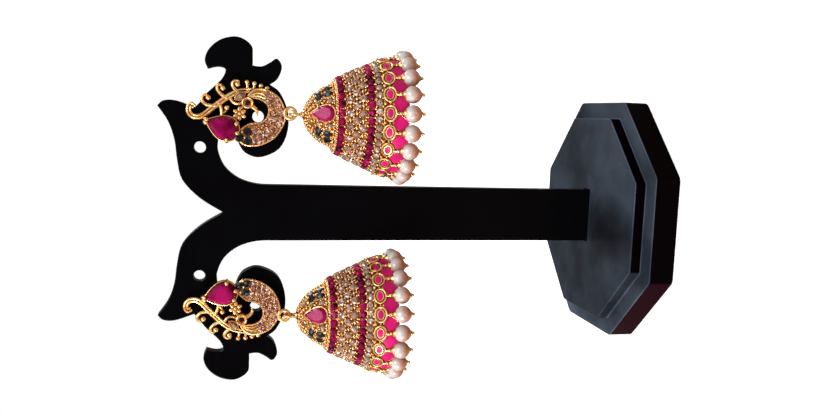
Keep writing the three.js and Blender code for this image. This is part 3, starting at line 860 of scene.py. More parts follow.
NUT_PROFILE = [(0.6, 1.8), (0.7, 1.7), (2.45, 1.7), (2.6, 1.85), (2.6, 2.5), (2.45, 2.7),
               (1.35, 2.75), (1.2, 2.9), (1.2, 4.7), (1.0, 4.9), (0.7, 4.9), (0.6, 4.8)]
FOOT = {"lower_width": 50.0, "lower_top": 5.3, "upper_width": 42.9, "upper_top": 7.7,
        "slot_width": 11.66, "slot_depth": 3.3, "slot_floor": 2.55, "lower_corner": 2.0,
        "upper_corner": 1.2}


def post_place(side):
    """Where a stud's ear post goes through the plate, as (x, z)."""
    lean = math.radians(EARRINGS[side]["lean"])
    u = POST["u"] * math.cos(lean) - POST["v"] * math.sin(lean)
    v = POST["u"] * math.sin(lean) + POST["v"] * math.cos(lean)
    ring = ring_centre(side)
    return ring.x / MM + EARRINGS[side]["sign"] * u, ring.z / MM + v


def ring_centre(side):
    """Centre of a stud's hanging ring, in metres."""
    hinge = HINGES[side + "_drop"]
    shift = EARRINGS[side]["sign"] * EARRINGS[side]["ring_shift"]
    return hinge + Vector((shift, 0, RING["radius"])) * MM


def plate_outline():
    half = np.concatenate([smooth_line(s["through"], s["steps"])[:-1] for s in PLATE_HALF])
    last_x, last_z = PLATE_HALF[-1]["through"][-1]
    half = np.vstack([half, (last_x, last_z), (last_x, PLATE_FOOT)])
    mirrored = half[1:][::-1] * (-1, 1)
    return np.concatenate([half, mirrored])


def add_loop(curve, points):
    spline = curve.splines.new("POLY")
    spline.points.add(len(points) - 1)
    for point, (x, z) in zip(spline.points, points):
        point.co = (x * MM, z * MM, 0, 1)
    spline.use_cyclic_u = True


class JHUMKA_OT_plate(bpy.types.Operator):
    """Builds the flat plate with its crown, hooks and holes"""

    bl_idname = "jhumka.plate"
    bl_label = "Plate"

    def execute(self, context):
        edge = context.scene.jhumka_sizes.plate_edge
        curve = bpy.data.curves.new("plate_outline", "CURVE")
        curve.dimensions = "2D"
        curve.fill_mode = "BOTH"
        curve.extrude = (PLATE_BACK - PLATE_FRONT) / 2 * MM - edge
        curve.bevel_depth = edge
        curve.bevel_resolution = 3
        curve.offset = -edge
        add_loop(curve, plate_outline())
        for side, facts in EARRINGS.items():
            holes = [(facts["sign"] * h["x"], h["z"], h["radius"]) for h in SPARE_HOLES]
            for x, z, radius in [*holes, (*post_place(side), POST["hole"])]:
                add_loop(curve, circle(radius, 32) + (x, z))
        outline = bpy.data.objects.new("plate_outline", curve)
        context.scene.collection.objects.link(outline)
        mesh = bpy.data.meshes.new_from_object(
            outline.evaluated_get(context.evaluated_depsgraph_get()))
        bpy.data.objects.remove(outline)
        mesh.transform(Matrix.Rotation(math.pi / 2, 4, "X"))
        piece = mesh_piece(mesh, "plate_shell", get_material("plate_black"), 50)
        attach(piece, "root", "black_plastic", "stand_plate")
        return {"FINISHED"}


def rounded_octagon(width, corner, steps=5):
    """An eight-sided outline, given across its flats, with rounded corners."""
    points = []
    reach = (width / 2 - corner) / math.cos(math.pi / 8)
    for i in range(8):
        middle = (i + 0.5) * math.pi / 4
        for turn in np.linspace(-math.pi / 8, math.pi / 8, steps):
            points.append((reach * math.cos(middle) + corner * math.cos(middle + turn),
                           reach * math.sin(middle) + corner * math.sin(middle + turn)))
    return np.array(points)


class JHUMKA_OT_foot(bpy.types.Operator):
    """Builds the stepped eight-sided foot with the slot that holds the plate"""

    bl_idname = "jhumka.foot"
    bl_label = "Foot"

    def execute(self, context):
        edge = context.scene.jhumka_sizes.foot_edge
        outlines = []
        for tier, heights in (("lower", (0, FOOT["lower_top"])),
                              ("upper", (FOOT["lower_top"], FOOT["upper_top"]))):
            ring = rounded_octagon(FOOT[tier + "_width"], FOOT[tier + "_corner"])
            outlines += [at_height(ring, height) for height in heights]
        shape = Shape()
        shape.add(*layered(outlines))
        piece = make_piece(shape, "foot_shell", get_material("foot_black"), 30)
        rounding = piece.modifiers.new("rounding", "BEVEL")
        rounding.width = edge
        rounding.segments = 4
        rounding.limit_method = "ANGLE"
        rounding.harden_normals = True
        corners = np.array([(-1, -1), (1, -1), (1, 1), (-1, 1)]) / 2
        corners = corners * (FOOT["slot_width"], FOOT["slot_depth"])
        shape = Shape()
        shape.add(*layered([at_height(corners, z)
                            for z in (FOOT["slot_floor"], FOOT["upper_top"] + 1)]))
        cutter = make_piece(shape, "slot_cutter", get_material("foot_black"), 0)
        slot = piece.modifiers.new("slot", "BOOLEAN")
        slot.operation = "DIFFERENCE"
        slot.object = cutter
        context.view_layer.update()
        depsgraph = context.evaluated_depsgraph_get()
        final = bpy.data.meshes.new_from_object(piece.evaluated_get(depsgraph))
        piece.modifiers.clear()
        piece.data = final
        bpy.data.objects.remove(cutter)
        attach(piece, "root", "black_plastic", "stand_base")
        return {"FINISHED"}


# ---- Stud --------------------

STUD = {"back": -1.7, "front": -2.9, "wire": -2.4}
PEAR = {"length": 6.2, "width": 4.4, "lean": 21.0, "u": -3.4, "v": 12.3}

# Places on the stud are (u, v): u outwards from the ring's centre, v up.
CRESCENT_OUTER = [(-5.4, 10.1), (-6.5, 8.4), (-6.2, 5.4), (-4.3, 2.6), (-0.8, 1.02), (2.6, 2.1),
                  (4.2, 4.3), (4.5, 6.3), (3.9, 7.5), (2.95, 8.3)]
CRESCENT_INNER = [(2.95, 8.3), (2.6, 5.9), (1.6, 4.45), (0.2, 4.1), (-1.3, 4.65), (-2.15, 6),
                  (-2.4, 7.9), (-3.6, 9.7)]
NECK_OUTER = [(3.9, 4.7), (4.3, 6.0), (3.8, 7.3), (3.0, 8.0)]
NECK_INNER = [(2.0, 5.0), (2.6, 6.0), (2.85, 7.2), (2.9, 7.9)]
HEAD = {"centre": (1.77, 8.31), "radius": 1.2, "rim": 0.95, "stone": 0.74}
BEAK = [(1.15, 7.5), (0.75, 6.9), (0.25, 6.5), (-0.3, 6.4), (-0.85, 6.6)]
LEAF = {"centre": (3.02, 9.7), "length": 1.9, "width": 0.85, "turn": -56.0}
FLOWER = {"centre": (-0.42, 9.81), "petals": 6, "circle": 0.82, "petal": 0.56}
STEM = [(0.7, 18.4), (1.05, 18.95), (0.45, 19.4), (-0.5, 19.3), (-1.2, 18.5), (-1.15, 17.25),
        (-0.45, 16.1), (0.55, 15), (1.4, 13.9), (2.4, 12.6), (3.3, 11.3), (3.95, 9.75),
        (4.2, 7.9), (4.1, 6.3)]
CURLS = [
    {"curl": "upper", "start": 0.42, "end": 0.22, "knob": 0.54, "through": [
        (1.0, 14.3), (1, 15.6), (1.35, 16.5), (2.1, 17), (2.8, 16.8), (3.05, 16.15), (2.5, 15.75)]},
    {"curl": "middle", "start": 0.42, "end": 0.22, "knob": 0.54, "through": [
        (2.6, 12.3), (3, 13), (3.65, 13.75), (4.35, 14.1), (4.95, 13.9), (5.05, 13.35),
        (4.45, 13.05)]},
    {"curl": "lower", "start": 0.42, "end": 0.22, "knob": 0.54, "through": [
        (3.7, 10.1), (4.4, 10.8), (5, 11.2), (5.7, 11.1), (6, 10.55), (5.8, 10), (5.3, 10.25)]},
    {"curl": "inner", "start": 0.36, "end": 0.36, "knob": 0.0, "through": [
        (1.6, 13.8), (0.5, 13.3), (-0.45, 13.2), (-1.3, 13.2)]},
    {"curl": "inner bud", "start": 0.3, "end": 0.2, "knob": 0.54, "through": [
        (-0.5, 13.2), (-0.05, 12.5), (0.65, 12.25)]},
    {"curl": "leaf", "start": 0.36, "end": 0.24, "knob": 0.0, "through": [
        (2.9, 11.7), (1.9, 11.2), (1.5, 10.5), (1.55, 9.7), (2, 9)]},
    {"curl": "petal stalk", "start": 0.3, "end": 0.3, "knob": 0.0, "through": [
        (-0.42, 9.81), (0.8, 9.3), (1.4, 8.8)]},
    {"curl": "petal link", "start": 0.35, "end": 0.35, "knob": 0.0, "through": [
        (-0.42, 9.81), (-1.1, 10.3), (-1.9, 10.9)]},
]
CREST = [((4.2, 8.24), (5.8, 8.45)), ((4.2, 7.1), (5.6, 7.02)), ((4, 6.04), (5.17, 5.76)),
         ((3.8, 4.98), (4.74, 4.6))]
CLAWS = [(66, 4.25), (74, 4.2), (-62, 2.35), (182, 2.35), (-112, 2.35)]
CLAW_LINE = [(0.15, 0.4), (0.12, -0.9), (-0.35, -1.5)]   # beyond a claw's reach, and depth
TAIL_STONES = [(-3.87, 8.24), (-5.08, 9.76), (-5.72, 8.22)]
TAIL_STONE_RADIUS, CRESCENT_STONE_RADIUS = 0.84, 0.55
CRESCENT_TOPS = {"outer": 8.0, "inner": 4.7}   # no small stones above these
GIRDLES = {"pear": -3.65, "eye": -2.95, "leaf": -3.25}   # depth of each stone's widest line
TAIL_KNOBS = [(-5.02, 8.81), (-4.75, 7.45), (-3.9, 9.3), (-6.25, 9.1)]
FACING = np.array([(1.0, 0, 0), (0, 0, 1.0), (0, -1.0, 0)])   # right, up, forward


class StudDrawing:
    """Turns stud places into corners for one side. The left stud mirrors the right one."""

    def __init__(self, side):
        self.sign = EARRINGS[side]["sign"]

    def point(self, place, depth):
        return np.array([self.sign * place[0], depth, place[1]])

    def line(self, places, depth):
        return np.array([self.point(p, depth) for p in places])

    def path(self, places, depth, steps):
        return self.line(smooth_line(places, steps), depth)

    def rim(self, places, depth, wire, sides=8):
        """A round wire laid round an outline."""
        return tube(self.line(places, depth), wire, sides, closed=True)

    def spots(self, places, depth, scale=1.0):
        return [(self.point(p, depth), FACING, scale) for p in places]

    def outline(self, places):
        """An outline in the facing plane, wound the same way on both sides."""
        flat = np.asarray(places, float) * (self.sign, 1)
        x, y = flat[:, 0], flat[:, 1]
        area = np.sum(x * np.roll(y, -1) - np.roll(x, -1) * y)
        return flat if area > 0 else flat[::-1]

    def slab(self, places, back, front, edge=0.18):
        """A plate over an outline, with its front edge eased."""
        flat = self.outline(places)
        step = np.roll(flat, -1, 0) - np.roll(flat, 1, 0)
        inward = np.array([unit(np.array([-s[1], s[0]])) for s in step])

        def level(points, depth):
            return np.column_stack([points[:, 0], np.full(len(points), depth), points[:, 1]])

        return layered([level(flat, back), level(flat, front + edge),
                        level(flat + inward * edge, front)])


def pear_places(length, width, flank=9, around=16):
    """The stud's pear outline, leaning towards the stem."""
    lean = math.radians(-PEAR["lean"])
    turn = np.array([[math.cos(lean), math.sin(lean)], [-math.sin(lean), math.cos(lean)]])
    return pear_outline(length, width, flank, around) @ turn + (PEAR["u"], PEAR["v"])


def marquise_places(length, width, centre, turn_degrees, steps=8):
    along = np.concatenate([np.linspace(0.5, -0.5, steps, endpoint=False),
                            np.linspace(-0.5, 0.5, steps, endpoint=False)])
    half = np.repeat([1, -1], steps)
    across = half * width / 2 * (1 - (2 * along) ** 2)
    turn = math.radians(turn_degrees)
    x = along * length
    return np.stack([centre[0] + x * math.cos(turn) - across * math.sin(turn),
                     centre[1] + x * math.sin(turn) + across * math.cos(turn)], 1)


def crescent_outline():
    outer = smooth_line(CRESCENT_OUTER, 60)
    return np.concatenate([outer, smooth_line(CRESCENT_INNER, 46)[1:]])


def crescent_stone_places(pitch=1.06, edge=0.52):
    """Places of the small stones: rows shared out between the rims, then the gaps filled."""
    rim = smooth_line(CRESCENT_OUTER, 600)
    inner = smooth_line(CRESCENT_INNER, 300)
    inward = leftward(rim)
    widths = np.array([np.min(np.linalg.norm(inner - p, axis=1)) for p in rim]) - 2 * edge
    dark, dark_reach = np.array(TAIL_STONES), TAIL_STONE_RADIUS + pitch * 0.5
    places = []

    def try_place(place, apart):
        too_high = place[1] > CRESCENT_TOPS["outer" if place[0] < 0 else "inner"]
        clear = all(np.linalg.norm(place - other) >= apart for other in places)
        clear = clear and all(np.linalg.norm(place - other) >= dark_reach for other in dark)
        if clear and not too_high:
            places.append(place)

    for row in range(4):
        for point, way, width in zip(rim, inward, widths):
            rows = max(2, round(width / pitch) + 1)
            if row < rows:
                try_place(point + way * (edge + width * row / (rows - 1)), pitch * 0.97)
    for point, way, width in zip(rim[::6], inward[::6], widths[::6]):
        for share in np.linspace(0, 1, 9):
            try_place(point + way * (edge + width * share), pitch * 0.86)
    return places


class JHUMKA_OT_stud_metal(bpy.types.Operator):
    """Builds both gilt studs: crescent, bird's head, scrolled stem, flower, claws and ring"""

    bl_idname = "jhumka.stud_metal"
    bl_label = "Stud Metal"

    def execute(self, context):
        for side in EARRINGS:
            shape = Shape()
            draw = StudDrawing(side)
            for add_part in (self.add_crescent, self.add_head, self.add_wires,
                             self.add_pear_setting, self.add_flower, self.add_ring_and_post):
                add_part(shape, draw)
            attach_side(shape, side, "stud_casting", "gilt_cast", 45, stud_matrix(side), "root",
                        "gold", ["stud_frame"])
        return {"FINISHED"}

    def add_crescent(self, shape, draw):
        outline = crescent_outline()
        shape.add(*draw.slab(outline, STUD["back"], STUD["front"]))
        shape.add(*draw.rim(outline, STUD["front"], 0.24))
        grains = []
        for place in crescent_stone_places():
            for turn in (0.5, 2.5, 4.5):
                angle = turn * math.pi / 3
                grains.append(place + np.array([math.cos(angle), math.sin(angle)]) * 0.62)
        shape.scatter(GRAIN, draw.spots(grains, STUD["front"] - 0.18, 0.19))
        for share in (0.32, 0.68):
            ridge = np.array(NECK_OUTER) * share + np.array(NECK_INNER) * (1 - share)
            shape.add(*tube(draw.path(ridge, STUD["front"] - 0.04, 14), 0.2, 8))
        shape.scatter(SEAT, draw.spots(TAIL_STONES, STUD["front"] - 0.05, TAIL_STONE_RADIUS))
        shape.scatter(ball(10, 6), draw.spots(TAIL_KNOBS, STUD["front"] - 0.1, 0.34))

    def add_head(self, shape, draw):
        disc, rim = (circle(HEAD[name], 28) + HEAD["centre"] for name in ("radius", "rim"))
        shape.add(*draw.slab(disc, STUD["back"], STUD["front"] - 0.25))
        shape.add(*draw.rim(rim, STUD["front"] - 0.25, 0.2))
        beak = draw.path(BEAK, STUD["front"] + 0.2, 10)
        shape.add(*tube(beak, np.linspace(0.52, 0.12, len(beak)), 10))
        leaf = marquise_places(LEAF["length"] + 0.5, LEAF["width"] + 0.5, LEAF["centre"],
                               LEAF["turn"])
        shape.add(*draw.slab(leaf, STUD["back"], STUD["front"]))
        shape.add(*draw.rim(leaf, STUD["front"] - 0.05, 0.16, 6))

    def add_wires(self, shape, draw):
        stem = smooth_line(STEM, 70)
        taper = np.interp(np.arange(len(stem)), [0, 8, 50, 70], [0.24, 0.3, 0.3, 0.22])
        for offset in (-0.27, 0.27):
            path = draw.line(stem + leftward(stem) * offset, STUD["wire"] - 0.1)
            shape.add(*tube(path, taper, 8))
        for curl in CURLS:
            path = draw.path(curl["through"], STUD["wire"], 26)
            shape.add(*tube(path, np.linspace(curl["start"], curl["end"], len(path)), 8))
            if curl["knob"]:
                knob = draw.spots(curl["through"][-1:], STUD["wire"] - 0.1, curl["knob"])
                shape.scatter(ball(14, 9), knob)
        for spine in CREST:
            shape.add(*tube(draw.line(spine, STUD["wire"]), 0.28, 8))
            shape.scatter(ball(14, 9), draw.spots(spine[1:], STUD["wire"], 0.48))

    def add_pear_setting(self, shape, draw):
        outline = pear_places(PEAR["length"] + 0.55, PEAR["width"] + 0.5)
        shape.add(*draw.slab(outline, STUD["back"], STUD["front"]))
        shape.add(*draw.rim(outline, STUD["front"] - 0.3, 0.18))
        centre = np.array([PEAR["u"], PEAR["v"]])
        for degrees, reach in CLAWS:
            angle = math.radians(degrees)
            way = np.array([math.cos(angle), math.sin(angle)])
            path = [draw.point(centre + way * (reach + out), STUD["front"] + depth)
                    for out, depth in CLAW_LINE]
            shape.add(*tube(smooth_line(path, 8), np.linspace(0.34, 0.3, 9), 8))
            shape.scatter(ball(12, 8), draw.spots([centre + way * (reach - 0.15)],
                                                  STUD["front"] - 1.25, 0.46))

    def add_flower(self, shape, draw):
        centre = np.array(FLOWER["centre"])
        corners, faces = ball(12, 8)
        petal = (corners * (1.0, 0.72, 0.45), faces)
        for i in range(FLOWER["petals"]):
            angle = i / FLOWER["petals"] * 2 * math.pi
            way = np.array([math.cos(angle), math.sin(angle)])
            origin = draw.point(centre + way * FLOWER["circle"], STUD["wire"] - 0.35)
            outward = np.array([draw.sign * way[0], 0, way[1]])
            forward = np.array([0, -1.0, 0])
            axes = np.array([outward, np.cross(forward, outward), forward])
            shape.scatter(petal, [(origin, axes, FLOWER["petal"])])
        shape.scatter(ball(12, 8), draw.spots([centre], STUD["wire"] - 0.6, 0.4))

    def add_ring_and_post(self, shape, draw):
        depth = HINGES["right_drop"].y / MM
        shape.scatter(torus(RING["radius"], RING["wire"], 40, 14), draw.spots([(0, 0)], depth))
        post = np.array([draw.point((POST["u"], POST["v"]), y)
                         for y in np.linspace(STUD["back"], POST["tip"], 6)])
        shape.add(*tube(post, POST["radius"], 16))


def stud_matrix(side):
    """Moves a stud from its ring's centre to its place. Depths are already in the frame."""
    centre = ring_centre(side)
    place = Matrix.Translation((centre.x, 0, centre.z))
    return place @ Matrix.Rotation(math.radians(EARRINGS[side]["lean"]), 4, "Y")


class JHUMKA_OT_stud_stones(bpy.types.Operator):
    """Builds the pear, eye, leaf, tail and crescent stones of both studs"""

    bl_idname = "jhumka.stud_stones"
    bl_label = "Stud Stones"

    def execute(self, context):
        pear = pear_places(PEAR["length"], PEAR["width"], 8, 14)
        eye = circle(HEAD["stone"], 10) + HEAD["centre"]
        leaf = marquise_places(LEAF["length"], LEAF["width"], LEAF["centre"], LEAF["turn"], 5)
        small = {"crown": 0.35, "belly": 0.3}
        for side in EARRINGS:
            draw = StudDrawing(side)
            cuts = {"pear": (pear, {"crown": 0.8, "belly": 0.7, "table": 0.72}),
                    "eye": (eye, small), "leaf": (leaf, small)}
            shapes = {name: scattered(cut_stone(draw.outline(places), **cut),
                                      [(np.array([0, GIRDLES[name], 0]), FACING, 1.0)])
                      for name, (places, cut) in cuts.items()}
            for name, places, lift, radius in (
                    ("pave", crescent_stone_places(), 0.12, CRESCENT_STONE_RADIUS),
                    ("tail", TAIL_STONES, 0.2, TAIL_STONE_RADIUS)):
                spots = draw.spots(places, STUD["front"] - lift, radius)
                shapes[name] = scattered(ROUND_STONE, spots)
            for kind, name, material, slot, nodes in (
                    ("pear", "stud_pear", "big_ruby", "ruby", ["stud_ruby"]),
                    ("eye", "bird_eye", "garnet", "garnet", ["eye_stone"]),
                    ("leaf", "leaf_crystal", "crystal", "clear_stone", ["leaf_stone"]),
                    ("pave", "crescent_stones", "rose_stone", "champagne_stone",
                     ["crescent_pave"]),
                    ("tail", "tail_stones", "dark_stone", "dark_stone", [])):
                attach_side(shapes[kind], side, name, material, 0, stud_matrix(side), "root",
                            slot, nodes)
        return {"FINISHED"}


class JHUMKA_OT_nuts(bpy.types.Operator):
    """Builds the plain nuts on the ear posts behind the plate"""

    bl_idname = "jhumka.nuts"
    bl_label = "Ear Nuts"

    def execute(self, context):
        shape = Shape()
        shape.add(*lathe(NUT_PROFILE, 40))
        for side in EARRINGS:
            x, z = post_place(side)
            place = Matrix.Translation((x * MM, 0, z * MM)) @ Matrix.Rotation(-math.pi / 2, 4, "X")
            attach_side(shape, side, "post_nut", "gilt", 35, place, "root", "gold", ["ear_nut"])
        return {"FINISHED"}


# ---- Bell --------------------

def hang(shape_by_name, side):
    """Puts one bell's pieces on their hinge: {name: (shape, material, slot, angle, *nodes)}."""
    hinge = Matrix.Translation(HINGES[side + "_drop"])
    turn = Matrix.Rotation(math.radians(EARRINGS[side]["turn"]), 4, "Z")
    for name, (shape, material, slot, angle, *nodes) in shape_by_name.items():
        place = hinge if name == "bell_eye" else hinge @ turn
        attach_side(shape, side, name, material, angle, place, side + "_drop", slot, *nodes)


def bell_shell():
    """The domed cap, flared skirt and upright wall as one turned wall."""
    outside = [(0.001, EYE["radius"]), (0.5, EYE["radius"])]
    outside += [tuple(p) for p in smooth_line(CAP_LINE, 30)]
    outside += [tuple(p) for p in smooth_line(SKIRT, 24)]
    outside += [(SKIRT[-1][0], WALL["top"]), (WALL["radius"], WALL["top"]),
                (WALL["radius"], WALL["mouth"])]
    within = WALL["radius"] - WALL["thickness"]
    inner = [(within, WALL["mouth"]), (within, WALL["top"] - 1), *SHELL_INSIDE]
    inner += [(r - 0.75, drop + 0.45) for r, drop in CAP_LINE[:3:-1]] + [(0.001, 2.7)]
    shape = Shape()
    shape.add(*lathe([(r, -drop) for r, drop in outside + inner], 96))
    return shape


EYE_COLLAR = [(0.2, -0.95), (0.56, -1.0), (0.62, -1.3), (0.9, -1.55), (0.2, -1.6)]


def hanging_eye():
    """The loop on top of the bell, with the collar it stands on."""
    across = np.array([(0, 1.0, 0), (0, 0, 1.0), (1.0, 0, 0)])
    shape = scattered(torus(EYE["radius"], EYE["wire"], 36, 12), [(np.zeros(3), across, 1.0)])
    shape.add(*lathe(EYE_COLLAR, 32))
    return shape


CAP_PEARS = {"azimuths": (0.0, math.pi), "polar": 66, "drop": 0.9, "stone": (5.05, 3.1, 6, 12),
             "rim": (5.3, 3.35, 8, 14)}
CAP_CLEARINGS = ((44, 1.05), (58, 1.65), (72, 1.85))     # polar angle over a pear, reach
CAP_CLAWS = ((0.0, 2.9), (-1.6, -1.5), (1.6, -1.5), (-1.3, 1.0), (1.3, 1.0))
CAP_ARCHES = ((0.5, 0.2), (0.76, 0.24), (1.05, 0.22))    # reach round the cap, wire
ARCH_POLAR = (20, 86)                                     # where an arch starts and ends
CAP_WHITES = ((-0.41, 80, 0.6), (0.41, 80, 0.6), (-0.42, 57, 0.4), (0.42, 57, 0.4))
LOOSE_GRAINS = {"tries": 4200, "small": 0.2, "large": 0.44, "apart": 0.8}
# Rings of grains at the cap's foot and top, as (drop, radius, count, size).
GRAIN_RINGS = ((7.52, 6.8, 78, 0.32), (7.05, 6.3, 78, 0.24), (1.85, 1.4, 20, 0.2))
GRAIN_SHARES = (0.85, 1.0, 1.4)


def cap_pear_outline(name):
    return pear_outline(*CAP_PEARS[name]) - (0, CAP_PEARS["drop"])


def add_loose_grains(shape, seed):
    """Grains of mixed sizes over the cap, wherever no stone or other grain lies."""
    chance = np.random.default_rng(seed)
    taken = [(cap_spot(a, math.radians(p))[0], reach)
             for a in CAP_PEARS["azimuths"] for p, reach in CAP_CLEARINGS]
    taken += [(origin, radius + 0.1) for origin, axes, radius in dark_spots()]
    placed = []
    for _ in range(LOOSE_GRAINS["tries"]):
        azimuth = chance.uniform(-math.pi, math.pi)
        polar = math.acos(1 - chance.uniform(0.03, 1.0))
        origin = cap_spot(azimuth, polar)[0]
        if any(np.linalg.norm(origin - middle) < reach for middle, reach in taken):
            continue
        size = chance.uniform(LOOSE_GRAINS["small"], LOOSE_GRAINS["large"])
        if any(np.linalg.norm(origin - other) < LOOSE_GRAINS["apart"] * (size + r)
               for other, r in placed):
            continue
        placed.append((origin, size))
        shape.scatter(GRAIN, [cap_spot(azimuth, polar, 0.05, size)])


def add_cap_pear_setting(shape, azimuth):
    """A pear's bed, rim and claws, with the carved arches on both sides of it."""
    origin, axes, _ = cap_spot(azimuth, math.radians(CAP_PEARS["polar"]), 0.3)
    flat = at_height(cap_pear_outline("rim"))
    shape.add(*tube(origin + flat @ axes, 0.18, 8, closed=True))
    shape.add(*layered([origin + (flat + (0, 0, h)) @ axes for h in (-0.9, 0.05)]))
    for x, y in CAP_CLAWS:
        shape.scatter(ball(10, 6), [(origin + np.array([x, y, 0.2]) @ axes, axes, 0.27)])
    for lean in (-1, 1):
        for reach, wire in CAP_ARCHES:
            arch = [cap_spot(azimuth + lean * (0.1 + reach * math.sin(math.pi * t * 0.62)),
                             math.radians(ARCH_POLAR[0] * (1 - t) + ARCH_POLAR[1] * t), 0.16)[0]
                    for t in np.linspace(0, 1, 19)]
            shape.add(*tube(arch, np.linspace(wire * 0.7, wire, 19), 6))


def cap_details(seed):
    """Grains, carved arches and pear settings of the cap."""
    shape = Shape()
    add_loose_grains(shape, seed)
    for azimuth in CAP_PEARS["azimuths"]:
        add_cap_pear_setting(shape, azimuth)
    for origin, axes, radius in dark_spots():
        for x, y in ((-1, 1), (1, 1), (-1, -1), (1, -1)):
            offset = np.array([x * 0.82, y * 0.82, 0.1]) * radius
            shape.scatter(GRAIN, [(origin + offset @ axes, axes, 0.17)])
    for drop, radius, count, size in GRAIN_RINGS:
        shape.scatter(GRAIN, [bell_spot(a, drop, radius, 0.7, 0, size * GRAIN_SHARES[n % 3])
                              for n, a in enumerate(round_the_bell(count))])
    return shape


# Grains between the stones of an open row, as (share of the pitch, fall, size).
FILLERS = ((-0.37, 0, 0.2), (0.37, 0, 0.2), (0.5, 0, 0.4), (0.43, -0.5, 0.3), (0.57, 0.5, 0.3))
SKIRT_WIRES = ((9.15, 0.1, 0.1), (14.62, 0.12, 0.12), (16.0, 0.22, 0.0))   # drop, wire, lift
TOP_GRAINS = {"drop": 7.7, "count": 90}


def skirt_details(grain):
    """Seats under the set stones, the grains that hold them and the wires between rows."""
    shape = Shape()
    for facts in STONE_ROWS:
        pitch, drop = 2 * math.pi / facts["count"], facts["drop"]
        open_row = facts["row"].startswith("champagne")
        step = 0.58 if open_row else facts["radius"] * 0.84
        ways = (-0.25, 0.25) if open_row else (0.5,)
        for azimuth in round_the_bell(facts["count"], facts["turn"]):
            shape.scatter(SEAT, [skirt_spot(azimuth, drop, -0.04, facts["radius"])])
            shape.scatter(GRAIN, [skirt_spot(azimuth + pitch * way, drop + fall, 0.3, grain)
                                  for way in ways for fall in (-step, step)])
            if open_row:
                shape.scatter(GRAIN, [skirt_spot(azimuth + pitch * way, drop + fall, 0.1, size)
                                      for way, fall, size in FILLERS])
    shape.scatter(GRAIN, [skirt_spot(a, TOP_GRAINS["drop"], 0.1, grain)
                          for a in round_the_bell(TOP_GRAINS["count"])])
    for drop, wire, lift in SKIRT_WIRES:
        ring = [skirt_spot(a, drop, lift)[0] for a in round_the_bell(120)]
        shape.add(*tube(ring, wire, 8, closed=True))
    return shape


def row_stones(kind):
    return scattered(ROUND_STONE, [
        skirt_spot(a, facts["drop"], 0.18, facts["radius"])
        for facts in STONE_ROWS if facts["row"].startswith(kind)
        for a in round_the_bell(facts["count"], facts["turn"])])


def cap_pears():
    return scattered(cut_stone(cap_pear_outline("stone"), crown=0.6, belly=0.5, table=0.7),
                     [cap_spot(azimuth, math.radians(CAP_PEARS["polar"]), 0.4)
                      for azimuth in CAP_PEARS["azimuths"]])


def dark_spots():
    """Places of the cap's dark stones, in four clusters."""
    spots = []
    aside = math.radians(DARK_CLUSTERS["azimuth"])
    for azimuth in (aside, -aside, math.pi - aside, math.pi + aside):
        for row in DARK_CLUSTERS["rows"]:
            polar = math.radians(row["polar"])
            for way in (-1, 1):
                turn = azimuth + way * row["apart"] / (CAP["radius"] * math.sin(polar))
                spots.append(cap_spot(turn, polar, 0.18, row["radius"]))
    return spots


def white_spots():
    """Places of the small clear stones beside the cap's pears."""
    return [cap_spot(azimuth + way, math.radians(polar), 0.24, size)
            for azimuth in CAP_PEARS["azimuths"] for way, polar, size in CAP_WHITES]


def oval(width, height, count=28):
    return circle(0.5, count) * (width, height)


def wire_loop(outline, lift, wire, sides=8):
    return tube(at_height(outline, lift), wire, sides, closed=True)


def gallery_spots(turn=0.0, drop=0.0):
    return [bell_spot(a, GALLERY["drop"] + drop, GALLERY["radius"], GALLERY["slope"])
            for a in round_the_bell(PEARLS["count"], turn)]


def ring_gallery(wire):
    """Oval rings of two wires, one above each pearl, with beads where they meet."""
    shape = Shape()
    width, height = GALLERY["width"] - 2 * wire, GALLERY["height"] - 2 * wire
    inner_wire = wire * 0.75
    inset = 2 * (wire + inner_wire + 0.1)
    plate = [at_height(oval(width, height), level) for level in (-0.9, -0.08)]
    for form in (wire_loop(oval(width, height, 32), 0.05, wire),
                 wire_loop(oval(width - inset, height - inset, 26), 0.0, inner_wire, 6),
                 layered(plate)):
        shape.scatter(form, gallery_spots())
    bead = ball(10, 6)
    for drop, size in ((-1.0, 0.3), (0.0, 0.2)):
        shape.scatter(bead, [(o, axes, size) for o, axes, _ in gallery_spots(0.5, drop)])
    return shape


def pennant():
    """Outline of one enamel pennant: a kite with softly curved sides."""
    across, rise, fall = PENNANT["half_width"], PENNANT["rise"], PENNANT["fall"]
    right = smooth_line([(0, rise), (across * 0.55, rise * 0.5), (across, 0.05),
                         (across * 0.62, -fall * 0.5), (0, -fall)], 12)
    return np.concatenate([right[:-1], right[::-1][:-1] * (-1, 1)])[::-1]


def pennant_spots():
    return [bell_spot(a, PENNANT["drop"], PENNANT["radius"], 0.0)
            for a in round_the_bell(PEARLS["count"], 0.5)]


def domed(outline, back, front, edge):
    """A plate over an outline with a softly raised front."""
    levels = [(1.0, back), (1.0, front - edge), (0.93, front - edge * 0.3), (0.7, front)]
    return layered([at_height(outline * share, height) for share, height in levels])


ENAMEL_OVAL = (1.86, 1.26)


def enamel_fields():
    """Pink enamel inside the rings and in the pennants between the pearls."""
    shape = Shape()
    shape.scatter(domed(oval(*ENAMEL_OVAL), -0.2, 0.16, 0.15), gallery_spots())
    shape.scatter(domed(pennant(), -0.85, 0.1, 0.15), pennant_spots())
    return shape


PIN = {"top": 18.1, "radius": 0.3}
# Outlines of the cup over a pearl and the cone under it, as (radius, height).
PIN_CUP = [(0.25, 0.3), (0.5, 0.15), (0.75, -0.1), (0.85, -0.32), (0.78, -0.36), (0.6, -0.15),
           (0.25, 0.05)]
PIN_CONE = [(0.05, 0.12), (0.55, 0.1), (0.58, -0.02), (0.3, -0.3), (0.05, -0.35)]


